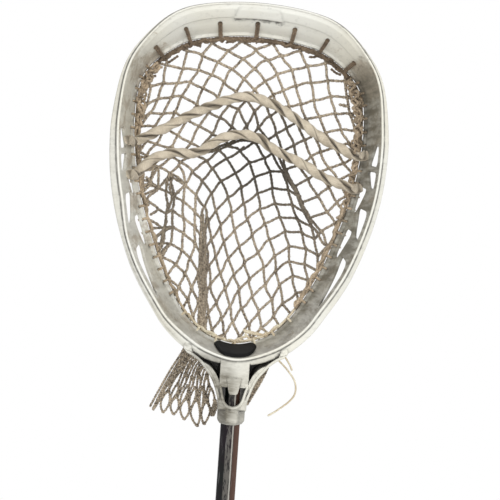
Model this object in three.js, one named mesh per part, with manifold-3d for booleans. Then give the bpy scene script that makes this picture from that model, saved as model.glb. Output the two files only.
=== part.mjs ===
// Lacrosse goalie stick: a moulded head on an octagonal alloy shaft, strung with a diamond mesh pocket.
// Millimetres. +Z runs up the shaft to the scoop, the open face of the head looks along -Y,
// and the origin is the centre of the butt end.
import * as THREE from "three";
import { mergeVertices } from "three/addons/utils/BufferGeometryUtils.js";
import Module from "manifold-3d";

const wasm = await Module();
wasm.setup();

// Shaft and butt cap
const shaftLength = 1016;
const shaftWidth = 22.2;
const shaftDepth = 26.6;
const shaftFlat = 8;
const shaftSideFlat = 10;
const shaftWall = 1.6;
const shaftInsert = 68;
const coatRise = 0.05;
const coatEnd = 2;
const capWall = 2;
const capEdge = 1.5;
const capEnd = 5;
const capSleeve = 30;
const capPlug = 18;

// Head ring
const headHalfWidth = 152;
const headLength = 410;
const throatRise = 77;
const crestFront = 23;
const scoopLean = 4;
const beadSize = 1.4;
const bandWidth = 13.5;
const wallInset = 27;
const wallHeight = 50;
const wallThickness = 3.6;
const railSize = 1.5;
const railHeight = 5.5;
const scoopHoleDiameter = 6;

// Throat: collar, arms, and the plate with its tongue in front of the shaft's end
const collarHeight = 14.5;
const collarChamfer = 4;
const collarWall = 4.2;
const collarLip = 0.6;
const collarLipRise = 0.8;
const armSpread = 62;
const throatDepth = 41;
const throatEdge = 2.2;
const rearWeb = 4;
const plateHalfWidth = 16.7;
const tongueTopHalf = 9;
const tongueFootHalf = 5.5;
const tongueThickness = 2;
const tongueEdge = 0.5;
const tongueGap = 1;
const screwHeight = 30;
const screwDiameter = 4;
const screwHeadDiameter = 8.4;
const screwHeadHeight = 2.6;
const screwLength = 16;

// Stringing
const stringDiameter = 2.4;
const railCord = 3.4;
const netCord = 2.8;
const pocketDepth = 62;
const flankDepth = 10;
const tailDrop = 12;
const laceWidth = 9.6;
const laceThickness = 3.4;
const laceTwist = 60;
const laceEndGap = 6.6;
const looseBend = 5;
const looseLean = 62;
const padWidth = 52;
const padThickness = 3;
const padSeat = 0.8;

// Clearances
const seatGap = 0.3;
const fitGap = 0.35;
const overrun = 5;
const mergeReach = 1e-4;

// Counts
const stations = 76;
const scoopHoles = 7;
const netColumns = 10;
const netRows = 26;
const tailColumns = 9;
const tailRows = 5;

// Heights of the collar's foot and of the crest's lowest point above the butt end
const collarBase = shaftLength - shaftInsert;
const headBase = collarBase + throatRise;

// Half width and height of the front crest, from the throat round to the scoop
const crestShares = [
  [0, 0], [0.197, 0.017], [0.342, 0.046], [0.5, 0.101], [0.605, 0.157], [0.704, 0.213],
  [0.786, 0.269], [0.898, 0.381], [0.969, 0.493], [1, 0.605], [1, 0.665], [0.97, 0.773],
  [0.921, 0.829], [0.822, 0.885], [0.678, 0.9415], [0.553, 0.9695], [0.395, 0.9866],
  [0.197, 0.9968], [0, 1],
];

// Section of the ring at shares of the way from throat to scoop: outer band width, inward slope
// of the wall, wall height and how far the wall bows, each as a share of the largest value
const sectionShares = [
  [0, 0.5, 0.44, 0.96, 0],
  [0.1, 0.93, 0.4, 0.98, 0],
  [0.2, 1, 0.48, 1, 0],
  [0.32, 0.9, 0.66, 1, 0],
  [0.45, 0.83, 0.6, 1, 0],
  [0.56, 0.7, 0.48, 1, 0],
  [0.66, 0.48, 0.39, 1, 0],
  [0.73, 0.36, 0.43, 0.98, 0.05],
  [0.81, 0.22, 0.7, 0.92, 0.12],
  [0.89, 0.14, 0.94, 0.86, 0.16],
  [1, 0.12, 1, 0.84, 0.16],
];

// Wall windows: start and end up the head, then the near and far edge across the wall at each end
const windowShares = [
  [0.155, 0.305, 0.14, 0.3, 0.14, 0.55],
  [0.29, 0.385, 0.64, 0.82, 0.46, 0.82],
  [0.355, 0.45, 0.14, 0.36, 0.14, 0.62],
  [0.43, 0.515, 0.66, 0.82, 0.42, 0.82],
  [0.505, 0.56, 0.14, 0.34, 0.14, 0.56],
  [0.57, 0.635, 0.14, 0.56, 0.14, 0.34],
];

// Arms of the throat as half width and height above the collar's foot, in shares of their spread
// and of the throat's rise: the outer edge, then the inner edge that frames the window
const armOuterShares = [
  [0.265, 0.235], [0.268, 0.3], [0.287, 0.407], [0.33, 0.522], [0.39, 0.646], [0.47, 0.761],
  [0.557, 0.847], [0.66, 0.943], [0.8, 1.029], [1, 1.134], [0.99, 1.325],
];
const armInnerShares = [
  [0, 0.278], [0.1, 0.302], [0.175, 0.374], [0.213, 0.479], [0.247, 0.582], [0.29, 0.686],
  [0.363, 0.79], [0.475, 0.881], [0.63, 0.947], [0.8, 1.057], [0.85, 1.325],
];
const armTopShare = 1.3;
const plateFootShare = 0.579;
const tongueTopShare = 0.723;
const tongueShoulderShare = 0.504;
const tongueFootShare = 0.474;

// Places of the stringing round the ring, as shares of its length from the middle of the throat
const topCornerShare = 0.364;
const footCornerShare = 0.088;
const scoopHoleSpreadShare = 0.122;
const looseLongShare = 0.031;
const looseShortShare = 0.046;
const tailSpanShares = [-0.056, 0.02];

// How far across the wall the scoop's holes are
const scoopHoleShare = 0.5;

// The pocket's channel: its half width, the width of its walls and where it starts, then how much
// the net is gathered to its middle and how far it hangs to one side
const channelShare = 0.5;
const channelWallShare = 0.17;
const channelStartShare = 0.35;
const channelPinchShare = 0.16;
const channelShiftShare = 0.07;

// Foot of the tail in shares of the head's half width and of the throat's rise
const tailFootShares = [
  [-0.638, 0.065], [-0.447, -0.013], [-0.21, -0.117], [-0.026, -0.078], [0.132, 0.234],
];

// Routes of the shooting strings in shares across and down the net
const upperRouteShares = [
  [-1, 0.353], [-0.8, 0.323], [-0.55, 0.271], [-0.3, 0.225], [-0.05, 0.2], [0.1, 0.215],
  [0.3, 0.242], [0.55, 0.296], [0.8, 0.334], [1, 0.362],
];
const lowerRouteShares = [
  [-1, 0.47], [-0.9, 0.425], [-0.75, 0.415], [-0.47, 0.41], [-0.25, 0.325], [0, 0.3],
  [0.14, 0.345], [0.26, 0.39], [0.52, 0.405], [0.87, 0.47], [1, 0.486],
];

// How far in front of the net's middle surface each pair rests, as a share of the net's cord
const upperRestShare = 0.45;
const lowerRestShare = 0.8;

// Foam pad: half widths at shares of the wall's height
const padShares = [[0.1, 0.46], [0.2, 0.64], [0.42, 0.86], [0.62, 1], [0.85, 0.78]];

// Free ends of the bottom string past the rail, as X, Y and height above the collar's foot
const looseLong = [
  [31.9, 27.6, 91.4], [34, 27.8, 88.6], [37.5, 28, 85.7], [42, 28.2, 82.3], [47, 28.4, 78.9], [51.5, 28.4, 75.5],
  [61, 27.8, 67.5], [69, 27, 59], [75.5, 27, 50], [78, 27, 41], [77, 27, 32.5], [71.5, 27, 24.5],
  [63, 27, 17], [54.5, 27, 10.5], [46, 27, 5],
];
const looseShort = [
  [46, 27.9, 99], [47.7, 28, 96.9], [49.4, 28.1, 94.9], [51.2, 28.3, 92.7], [53, 28.4, 90.5], [54.8, 28.4, 88.2],
  [56.6, 28.4, 85.8], [58.4, 28.3, 83.4], [60.2, 28.1, 80.9], [61.9, 28, 78.4], [63.6, 27.8, 76], [65.3, 27.6, 73.7],
  [67, 27.3, 71.2], [69, 27.1, 68], [70.6, 27, 64.9], [72, 27, 61.5],
];

function material(color, roughness, metalness = 0) {
  return new THREE.MeshStandardMaterial({ color, roughness, metalness });
}

const plastic = material(0xdfdccf, 0.42);
const alloy = material(0x2e3134, 0.38, 0.8);
const rubber = material(0x151515, 0.85);
const steel = material(0x9a9c9e, 0.3, 1);
const foam = material(0x101011, 0.6);
const meshCord = material(0x8d7f66, 0.9);
const lace = material(0xcbbca0, 0.92);
const cream = material(0xe4dcc4, 0.85);
const tan = material(0x9a8b70, 0.9);

// Solids: three.js geometry to manifold-3d and back
function solid(geometry) {
  const plain = geometry.clone();
  plain.deleteAttribute("normal");
  plain.deleteAttribute("uv");
  const merged = mergeVertices(plain, mergeReach);
  const vertProperties = new Float32Array(merged.attributes.position.array);
  const triVerts = new Uint32Array(merged.index.array);
  return new wasm.Manifold(new wasm.Mesh({ numProp: 3, vertProperties, triVerts }));
}

function geometryOf(body) {
  const mesh = body.getMesh();
  const geometry = new THREE.BufferGeometry();
  geometry.setAttribute("position", new THREE.BufferAttribute(mesh.vertProperties, 3));
  geometry.setIndex(new THREE.BufferAttribute(mesh.triVerts, 1));
  geometry.computeVertexNormals();
  return geometry;
}

function piece(name, geometry, finish) {
  const mesh = new THREE.Mesh(geometry, finish);
  mesh.name = name;
  return mesh;
}

// A closed body through rings of points, all with the same count. Rings may close on the first.
function loft(rings, closed = false) {
  const count = rings[0].length;
  const positions = rings.flat().flatMap((p) => [p.x, p.y, p.z]);
  const faces = [];
  const last = closed ? rings.length : rings.length - 1;
  for (let r = 0; r < last; r++) {
    const near = r * count;
    const far = ((r + 1) % rings.length) * count;
    for (let k = 0; k < count; k++) {
      const next = (k + 1) % count;
      faces.push(near + k, near + next, far + next, near + k, far + next, far + k);
    }
  }
  if (!closed) {
    capRing(rings[0], 0, true, positions, faces);
    capRing(rings[rings.length - 1], (rings.length - 1) * count, false, positions, faces);
  }
  const geometry = new THREE.BufferGeometry();
  geometry.setAttribute("position", new THREE.Float32BufferAttribute(positions, 3));
  geometry.setIndex(faces);
  return outward(geometry);
}

function capRing(ring, start, reversed, positions, faces) {
  const centre = new THREE.Vector3();
  ring.forEach((p) => centre.addScaledVector(p, 1 / ring.length));
  const middle = positions.length / 3;
  positions.push(centre.x, centre.y, centre.z);
  ring.forEach((_, k) => {
    const a = start + k;
    const b = start + ((k + 1) % ring.length);
    faces.push(...(reversed ? [middle, b, a] : [middle, a, b]));
  });
}

// Turns a closed geometry's faces outward when its volume comes out negative
function outward(geometry) {
  const p = geometry.attributes.position;
  const index = geometry.index.array;
  const [a, b, c] = [new THREE.Vector3(), new THREE.Vector3(), new THREE.Vector3()];
  let volume = 0;
  for (let i = 0; i < index.length; i += 3) {
    a.fromBufferAttribute(p, index[i]);
    b.fromBufferAttribute(p, index[i + 1]);
    c.fromBufferAttribute(p, index[i + 2]);
    volume += a.dot(b.cross(c));
  }
  if (volume < 0) {
    for (let i = 0; i < index.length; i += 3) {
      [index[i + 1], index[i + 2]] = [index[i + 2], index[i + 1]];
    }
  }
  geometry.computeVertexNormals();
  return geometry;
}

// Reads a table of shares at any place, as a smooth curve through its rows
function between(table, place) {
  let k = 0;
  while (k < table.length - 2 && table[k + 1][0] < place) k++;
  const last = table.length - 1;
  const rows = [table[Math.max(k - 1, 0)], table[k], table[k + 1], table[Math.min(k + 2, last)]];
  const span = rows[2][0] - rows[1][0];
  const part = THREE.MathUtils.clamp((place - rows[1][0]) / span, 0, 1);
  const slope = (a, b, column) => ((b[column] - a[column]) / Math.max(b[0] - a[0], span / 4)) * span;
  return rows[1].map((value, column) => {
    const start = slope(rows[0], rows[2], column);
    const end = slope(rows[1], rows[3], column);
    const rise = rows[2][column] - value;
    return value + part * (start + part * (3 * rise - 2 * start - end + part * (start + end - 2 * rise)));
  });
}

// The ring: a closed crest curve, and at every place round it a section that carries the outer
// band, the sloping wall and the rear rail. Places run from 0 at the throat to 0.5 at the scoop.
const crest = new THREE.CatmullRomCurve3(
  [...crestShares, ...crestShares.slice(1, -1).reverse().map(([w, h]) => [-w, h])].map(
    ([w, h]) => new THREE.Vector3(w * headHalfWidth, 0, headBase + h * headLength),
  ),
  true,
  "centripetal",
);
crest.arcLengthDivisions = 800;

function ringFrame(place) {
  const wrapped = ((place % 1) + 1) % 1;
  const point = crest.getPointAt(wrapped);
  const tangent = crest.getTangentAt(wrapped);
  const out = new THREE.Vector3(tangent.z, 0, -tangent.x).normalize();
  const along = 1 - Math.abs(1 - 2 * wrapped);
  const [, band, inset, height, bow] = between(sectionShares, along);
  const rise = (point.z - headBase) / headLength;
  return {
    point,
    out,
    front: -crestFront - scoopLean * rise * rise,
    band: band * bandWidth,
    inset: inset * wallInset,
    height: height * wallHeight,
    bow,
  };
}

// A point at a place round the ring, out from the crest by n and back from it by y
function ringPoint(frame, n, y) {
  return frame.point.clone().addScaledVector(frame.out, n).setY(frame.front + y);
}

// The wall's inner face at a share of its height, as a distance out from the crest
function wallInner(frame, share) {
  const bowed = share + frame.bow * Math.sin(Math.PI * share);
  return -beadSize - (frame.inset - beadSize) * bowed;
}

function ringSection(frame) {
  const { band, height } = frame;
  const lip = band - beadSize;
  const under = beadSize * 3.2 + band * 0.32;
  const inner = (y) => wallInner(frame, y / height);
  const outer = (y) => inner(y) + wallThickness;
  const foot = inner(height);
  const railTop = height - railHeight - railSize;
  return [
    [0, 0],
    [beadSize, beadSize * 0.5],
    [beadSize + lip * 0.12, beadSize * 1.5],
    [beadSize + lip * 0.8, beadSize * 1.5 + band * 0.22],
    [band, beadSize * 2 + band * 0.3],
    [band - lip * 0.15, beadSize * 3 + band * 0.36],
    [outer(under), under],
    [outer(height * 0.5), height * 0.5],
    [outer(railTop), railTop],
    [foot + wallThickness + railSize, height - railHeight],
    [foot + wallThickness + railSize, height - railSize],
    [foot + wallThickness - 0.2 * railSize, height],
    [foot, height],
    [foot - railSize, height - railSize],
    [foot - railSize, height - railHeight],
    [inner(railTop), railTop],
    [inner(height * 0.5), height * 0.5],
    [inner(height * 0.25), height * 0.25],
    [-beadSize, beadSize * 1.4],
    [-beadSize * 0.8, beadSize * 0.4],
  ].map(([n, y]) => ringPoint(frame, n, y));
}

function ringBody() {
  const rings = [];
  for (let k = 0; k < stations; k++) rings.push(ringSection(ringFrame(k / stations)));
  return solid(loft(rings, true));
}

// The space inside the wall's middle surface, which trims the throat to the ring
function mouthBody() {
  const levels = [-1, 0, 1, 2].map((level) => {
    const ring = [];
    for (let k = 0; k < stations; k++) {
      const frame = ringFrame(k / stations);
      const share = THREE.MathUtils.clamp(level, 0, 1);
      ring.push(ringPoint(frame, wallInner(frame, share) + wallThickness / 2, level * frame.height));
    }
    return ring;
  });
  return solid(loft(levels));
}

// Place round the ring where the crest reaches a height share, on the +X side
function placeAtHeight(share) {
  let low = 0;
  let high = 0.5;
  for (let step = 0; step < 40; step++) {
    const middle = (low + high) / 2;
    const rise = (crest.getPointAt(middle).z - headBase) / headLength;
    if (rise < share) low = middle;
    else high = middle;
  }
  return (low + high) / 2;
}

// A cutter through the wall, from an outline given as places round the ring and shares across it
function wallCutter(outline, mirrored) {
  const reach = 1.4 * wallThickness;
  const rings = [-reach, reach].map((depth) =>
    outline.map(([place, across]) => {
      const frame = ringFrame(mirrored ? 1 - place : place);
      const n = wallInner(frame, across) + wallThickness / 2;
      return ringPoint(frame, n + depth, across * frame.height);
    }),
  );
  return solid(loft(rings));
}

// A window's outline: four corners, each rounded with a few points
function windowOutline([start, end, nearStart, farStart, nearEnd, farEnd]) {
  const low = placeAtHeight(start);
  const high = placeAtHeight(end);
  const lean = (high - low) * 0.12;
  const corners = [
    [low, nearStart], [low + lean, farStart], [high, farEnd], [high - lean, nearEnd],
  ].map(([place, across]) => new THREE.Vector2(place, across));
  const outline = [];
  corners.forEach((corner, k) => {
    const before = corners[(k + 3) % 4];
    const after = corners[(k + 1) % 4];
    const from = corner.clone().lerp(before, 0.25);
    const to = corner.clone().lerp(after, 0.25);
    const curve = new THREE.QuadraticBezierCurve(from, corner, to);
    outline.push(...curve.getPoints(3).map((p) => [p.x, p.y]));
  });
  return outline;
}

function roundOutline(place, across, radius, sides) {
  const frame = ringFrame(place);
  const around = radius / crest.getLength();
  const over = radius / frame.height;
  return Array.from({ length: sides }, (_, k) => {
    const angle = (2 * Math.PI * k) / sides;
    return [place + around * Math.cos(angle), across + over * Math.sin(angle)];
  });
}

const armPoint = ([w, h], side = 1) => [side * w * armSpread, h * throatRise];

function closedShape(points) {
  return new THREE.Shape(points.map(([x, z]) => new THREE.Vector2(x, z)));
}

function smoothPoints(points, steps) {
  const curve = new THREE.SplineCurve(points.map(([x, z]) => new THREE.Vector2(x, z)));
  return curve.getPoints(steps).map((p) => [p.x, p.y]);
}

function mirroredPath(points) {
  return [...points, ...points.slice().reverse().map(([x, z]) => [-x, z])];
}

// Extrudes an X-Z shape from one depth to another, with its height measured from the collar's foot
function slab(shape, front, back, edge = 0) {
  const geometry = new THREE.ExtrudeGeometry(shape, {
    depth: back - front - 2 * edge,
    bevelEnabled: edge > 0,
    bevelSize: edge,
    bevelOffset: -edge,
    bevelThickness: edge,
    bevelSegments: 2,
  });
  geometry.rotateX(Math.PI / 2);
  geometry.translate(0, back - edge, collarBase);
  return geometry;
}

// The shaft's eight-sided section, larger by a clearance all round
function octagon(extra, height) {
  const w = shaftWidth / 2 + extra;
  const d = shaftDepth / 2 + extra;
  const corner = extra * Math.tan(Math.PI / 8);
  const f = shaftFlat / 2 + corner;
  const s = shaftSideFlat / 2 + corner;
  return [
    [f, -d], [w, -s], [w, s], [f, d], [-f, d], [-w, s], [-w, -s], [-f, -d],
  ].map(([x, y]) => new THREE.Vector3(x, y, height));
}

function prism(extra, low, high) {
  return solid(loft([octagon(extra, low), octagon(extra, high)]));
}

function throatBody() {
  const outer = smoothPoints(armOuterShares.map((p) => armPoint(p)), 24);
  const outline = closedShape(mirroredPath(outer));
  const block = solid(slab(outline, -throatDepth / 2, throatDepth / 2, throatEdge));
  const collarTop = collarBase + collarHeight;
  const collar = solid(
    loft([
      octagon(fitGap + collarWall * 0.35, collarBase),
      octagon(fitGap + collarWall - collarLip, collarBase + collarChamfer),
      octagon(fitGap + collarWall - collarLip, collarTop),
      octagon(fitGap + collarWall, collarTop + collarLipRise),
      octagon(fitGap + collarWall, collarTop + collarHeight),
    ]),
  );
  const inner = smoothPoints(armInnerShares.map((p) => armPoint(p)), 24);
  const top = throatRise * armTopShare;
  let body = block.add(collar);

  // Hollows beside the plate, open to the front and closed by the rear web
  for (const side of [-1, 1]) {
    const edge = inner.filter(([x, z]) => x > plateHalfWidth && z < top);
    const low = throatRise * plateFootShare;
    const points = [
      [plateHalfWidth, low], ...edge, [edge[edge.length - 1][0], top], [plateHalfWidth, top],
    ].map(([x, z]) => [side * x, z]);
    body = body.subtract(solid(slab(closedShape(points), -throatDepth, throatDepth / 2 - rearWeb)));
  }

  // Window in front of the shaft's end, and the tongue that hangs over it
  const under = inner.filter(([, z]) => z < throatRise * plateFootShare);
  const foot = [under[under.length - 1][0], throatRise * plateFootShare];
  const windowPoints = mirroredPath([...under, foot]);
  const windowBack = -shaftDepth / 2 + collarWall;
  body = body.subtract(solid(slab(closedShape(windowPoints), -throatDepth, windowBack)));
  const tongue = mirroredPath([
    [tongueFootHalf * 0.6, throatRise * tongueFootShare],
    [tongueFootHalf, throatRise * tongueShoulderShare],
    [tongueTopHalf, throatRise * tongueTopShare],
  ]);
  const plateFront = -throatDepth / 2 - tongueThickness / 2;
  const plateBack = -shaftDepth / 2 - fitGap - tongueGap;
  return body.add(solid(slab(closedShape(tongue), plateFront, plateBack, tongueEdge)));
}

// Places of the top string's holes through the scoop
const scoopPlaces = Array.from(
  { length: scoopHoles },
  (_, k) => 0.5 + scoopHoleSpreadShare * ((2 * k) / (scoopHoles - 1) - 1),
);

function headFrame() {
  let body = ringBody().add(throatBody().subtract(mouthBody()));
  for (const mirrored of [false, true]) {
    for (const shares of windowShares) {
      body = body.subtract(wallCutter(windowOutline(shares), mirrored));
    }
  }
  for (const place of scoopPlaces) {
    const outline = roundOutline(place, scoopHoleShare, scoopHoleDiameter / 2, 8);
    body = body.subtract(wallCutter(outline, false));
  }
  body = body.subtract(prism(fitGap, collarBase - overrun, shaftLength + fitGap));
  body = body.subtract(screwBore(screwDiameter / 2 + fitGap, throatDepth));
  return piece("head_frame", geometryOf(body), plastic);
}

function screwBore(radius, length) {
  const bore = new THREE.CylinderGeometry(radius, radius, length, 12);
  bore.translate(0, length / 2 + shaftSideFlat / 2, collarBase + screwHeight);
  return solid(bore);
}

function headScrew() {
  const seat = throatDepth / 2 + seatGap;
  const shank = screwDiameter / 2;
  const head = screwHeadDiameter / 2;
  const profile = [
    [0, seat + screwHeadHeight],
    [head * 0.6, seat + screwHeadHeight],
    [head, seat + screwHeadHeight * 0.4],
    [head, seat],
    [shank, seat],
    [shank, seat - screwLength + shank],
    [0, seat - screwLength],
  ];
  const geometry = new THREE.LatheGeometry(
    profile.reverse().map(([x, y]) => new THREE.Vector2(x, y)), 16,
  );
  geometry.translate(0, 0, collarBase + screwHeight);
  return piece("head_screw", geometryOf(solid(geometry)), steel);
}

function shaft() {
  const coat = prism(coatRise, capSleeve + coatEnd, collarBase - coatEnd);
  const tube = prism(0, capEnd + seatGap, shaftLength)
    .add(coat)
    .subtract(prism(-shaftWall, 0, shaftLength + overrun))
    .subtract(screwBore(screwDiameter / 2 + fitGap, shaftDepth));
  return piece("shaft", geometryOf(tube), alloy);
}

function buttCap() {
  const sleeve = solid(
    loft([
      octagon(capWall - capEdge, 0),
      octagon(capWall + seatGap, capEdge),
      octagon(capWall + seatGap, capSleeve),
    ]),
  ).subtract(prism(seatGap, capEnd, capSleeve + overrun));
  const plug = prism(-shaftWall - seatGap, capEnd / 2, capEnd + capPlug);
  return piece("butt_cap", geometryOf(sleeve.add(plug)), rubber);
}

// Stringing path: a distance in from the rear rail's inner face, at any place round the ring
function railPoint(place, clear, back = 0) {
  const frame = ringFrame(place);
  return ringPoint(frame, wallInner(frame, 1) - railSize - clear, frame.height - railSize + back);
}

const cordSeat = seatGap + railCord / 2;
const netSeat = 2 * seatGap + railCord + 0.8 * netCord;

// A cord's solid along a curve, oval if given two widths, turned by a twist along the way
function cordBody(curve, steps, wide, thick, sides, twist = 0, shift = 0) {
  const frames = curve.computeFrenetFrames(steps, false);
  const rings = [];
  for (let k = 0; k <= steps; k++) {
    const at = curve.getPointAt(k / steps);
    const turn = (2 * Math.PI * twist * k) / steps;
    const across = frames.normals[k].clone().applyAxisAngle(frames.tangents[k], turn);
    const over = frames.tangents[k].clone().cross(across);
    const centre = at.addScaledVector(over, shift);
    rings.push(
      Array.from({ length: sides }, (_, i) => {
        const angle = (2 * Math.PI * (i + 0.5)) / sides;
        return centre
          .clone()
          .addScaledVector(across, (Math.cos(angle) * wide) / 2)
          .addScaledVector(over, (Math.sin(angle) * thick) / 2);
      }),
    );
  }
  return solid(loft(rings));
}

function pathOf(points) {
  const curve = new THREE.CatmullRomCurve3(points, false, "centripetal");
  curve.arcLengthDivisions = 400;
  return curve;
}

function railPath(from, to, count, clear, back = 0) {
  return pathOf(
    Array.from({ length: count }, (_, k) => railPoint(from + ((to - from) * k) / (count - 1), clear, back)),
  );
}

// The net: a patch stretched between four rail curves, with a channel let down in its middle.
// Across runs from -1 on the left to 1 on the right, and down from 0 at the scoop to 1.
function netPoint(across, down) {
  const edge = netSeat;
  const pinch = channelPinchShare * Math.sin(Math.PI * THREE.MathUtils.clamp(down, 0, 1));
  const slide = channelShiftShare * Math.sin(Math.PI * down) * (1 - across * across);
  const c = (across + slide - pinch * Math.sin(Math.PI * across) * 0.5 + 1) / 2;
  const sidePlace = topCornerShare + (footCornerShare - topCornerShare) * down;
  const top = railPoint(1 - topCornerShare + (2 * topCornerShare - 1) * c, edge);
  const foot = railPoint(1 - footCornerShare + 2 * footCornerShare * c, edge);
  const left = railPoint(1 - sidePlace, edge);
  const right = railPoint(sidePlace, edge);
  const corners = [
    [railPoint(1 - topCornerShare, edge), (1 - c) * (1 - down)],
    [railPoint(topCornerShare, edge), c * (1 - down)],
    [railPoint(1 - footCornerShare, edge), (1 - c) * down],
    [railPoint(footCornerShare, edge), c * down],
  ];
  const at = new THREE.Vector3()
    .addScaledVector(top, 1 - down)
    .addScaledVector(foot, down)
    .addScaledVector(left, 1 - c)
    .addScaledVector(right, c);
  corners.forEach(([corner, weight]) => at.addScaledVector(corner, -weight));
  const spread = 1 - across * across;
  const wall = THREE.MathUtils.smoothstep(
    -Math.abs(across), -channelShare - channelWallShare / 2, -channelShare + channelWallShare / 2,
  );
  const run = THREE.MathUtils.clamp((down - channelStartShare) / (1 - channelStartShare), 0, 1);
  at.y += flankDepth * Math.sin(Math.PI * down) * spread;
  at.y += pocketDepth * wall * Math.sin(Math.PI * run ** 1.25);
  return at;
}

// Tail: the spare mesh beyond the bottom string, over the back of the ring and down behind the throat
const footCurve = new THREE.SplineCurve(
  tailFootShares.map(([x, z]) => new THREE.Vector2(x * headHalfWidth, z * throatRise)),
);

function tailPoint(across, down) {
  const c = THREE.MathUtils.clamp((across + 1) / 2, 0, 1);
  const frame = ringFrame(THREE.MathUtils.lerp(...tailSpanShares, c));
  const rest = wallInner(frame, 1) + wallThickness / 2;
  const top = ringPoint(frame, rest, frame.height + seatGap + netCord / 2);
  const foot = footCurve.getPoint(c);
  const at = new THREE.Vector3(foot.x, top.y + tailDrop, collarBase + foot.y);
  return top.clone().lerp(at, down).setY(top.y + tailDrop * down * down);
}

// How far to each side of a knot its slope is read
const nearShare = 0.01;

// A diamond net as one closed body: flat strands from knot to knot over a surface
function netGeometry(surface, columns, rows) {
  const across = (i) => -1 + i / columns;
  const knots = new Map();
  const positions = [];
  const faces = [];
  const key = (i, j) => i * (rows + 1) + j;
  const present = (i, j) => i >= 0 && i <= 2 * columns && j >= 0 && j <= rows;
  const steps = [[-1, -1], [1, -1], [1, 1], [-1, 1]];
  for (let j = 0; j <= rows; j++) {
    for (let i = j % 2; i <= 2 * columns; i += 2) {
      const at = surface(across(i), j / rows);
      const du = surface(across(i) + nearShare, j / rows).sub(surface(across(i) - nearShare, j / rows));
      const dv = surface(across(i), j / rows + nearShare).sub(surface(across(i), j / rows - nearShare));
      const back = dv.clone().cross(du).normalize();
      if (back.y < 0) back.negate();
      const ways = steps.map(([a, b]) => {
        const towards = surface(across(i + a), (j + b) / rows).sub(at);
        return towards.addScaledVector(back, -towards.dot(back)).normalize();
      });
      const start = positions.length / 3;
      for (let side = 0; side < 4; side++) {
        const one = ways[side];
        const two = ways[(side + 1) % 4];
        const middle = one.clone().add(two).normalize();
        const sine = Math.sqrt(Math.max((1 - one.dot(two)) / 2, 0.09));
        const corner = at.clone().addScaledVector(middle, netCord / 2 / sine);
        for (const face of [-1, 1]) {
          const point = corner.clone().addScaledVector(back, (face * netCord) / 2);
          positions.push(point.x, point.y, point.z);
        }
      }
      knots.set(key(i, j), start);
    }
  }
  const quad = (a, b, c, d) => faces.push(a, b, c, a, c, d);
  for (const [where, start] of knots) {
    const i = Math.floor(where / (rows + 1));
    const j = where % (rows + 1);
    const front = (side) => start + 2 * (side % 4);
    const back = (side) => front(side) + 1;
    quad(front(0), front(1), front(2), front(3));
    quad(back(3), back(2), back(1), back(0));
    steps.forEach(([a, b], way) => {
      const before = (way + 3) % 4;
      if (!present(i + a, j + b)) {
        quad(front(before), back(before), back(way), front(way));
      } else if (b > 0) {
        const other = knots.get(key(i + a, j + b));
        const facing = (way + 2) % 4;
        const near = [(facing + 3) % 4, facing].map((side) => other + 2 * side);
        quad(front(before), near[1], near[0], front(way));
        quad(back(way), near[0] + 1, near[1] + 1, back(before));
        quad(back(before), near[1] + 1, near[1], front(before));
        quad(front(way), near[0], near[0] + 1, back(way));
      }
    });
  }
  const geometry = new THREE.BufferGeometry();
  geometry.setAttribute("position", new THREE.Float32BufferAttribute(positions, 3));
  geometry.setIndex(faces);
  return outward(geometry);
}

// Cords that run along the rear rail, with their ends kept apart by a seat gap
const placeOf = (length) => length / crest.getLength();

function railCordPiece(name, from, to, steps, finish) {
  const trim = placeOf(seatGap) * Math.sign(to - from);
  const curve = railPath(from + trim, to - trim, steps, cordSeat);
  return piece(name, geometryOf(cordBody(curve, steps, railCord, railCord, 6)), finish);
}

// One loop of the top string: through a hole in the scoop and round the rear rail
function scoopLoop(place) {
  const frame = ringFrame(place);
  const seat = 3 * seatGap + stringDiameter / 2;
  const height = frame.height;
  const inner = (y) => wallInner(frame, y / height) - seat;
  const outer = (y) => wallInner(frame, y / height) + wallThickness + seat;
  const hole = height * scoopHoleShare;
  const foot = wallInner(frame, 1);
  const low = height - railHeight;
  const route = [
    [(inner(hole) + outer(hole)) / 2, hole],
    [inner(hole + seat), hole + seat],
    [inner(height * 0.72), height * 0.72],
    [foot - railSize - seat, low],
    [foot - railSize - seat, height - railSize],
    [foot, height + seat],
    [foot + wallThickness, height + seat],
    [foot + wallThickness + railSize + seat, height - railSize],
    [foot + wallThickness + railSize + seat, low],
    [outer(height * 0.72), height * 0.72],
    [outer(hole + seat), hole + seat],
  ].map(([n, y]) => ringPoint(frame, n, y));
  const tangent = frame.out.clone().cross(new THREE.Vector3(0, 1, 0));
  const curve = new THREE.CatmullRomCurve3(route, true, "centripetal");
  const steps = 14;
  const rings = Array.from({ length: steps }, (_, k) => {
    const at = curve.getPointAt(k / steps);
    const over = curve.getTangentAt(k / steps).cross(tangent).normalize();
    return Array.from({ length: 6 }, (_, i) => {
      const angle = (Math.PI * i) / 3;
      return at
        .clone()
        .addScaledVector(tangent, Math.cos(angle) * stringDiameter * 0.9)
        .addScaledVector(over, (Math.sin(angle) * stringDiameter) / 2);
    });
  });
  return solid(loft(rings, true));
}

function topString() {
  const trim = placeOf(seatGap);
  const from = 1 - topCornerShare - trim;
  const run = cordBody(railPath(from, topCornerShare + trim, 26, cordSeat), 28, railCord, railCord, 6);
  const body = scoopPlaces.reduce((whole, place) => whole.add(scoopLoop(place)), run);
  return piece("top_string", geometryOf(body), tan);
}

// Shooting strings: two flat laces each, twisted together in front of the net
const laceReach = Math.hypot(laceWidth / 2, (laceThickness + seatGap) / 2);

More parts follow.
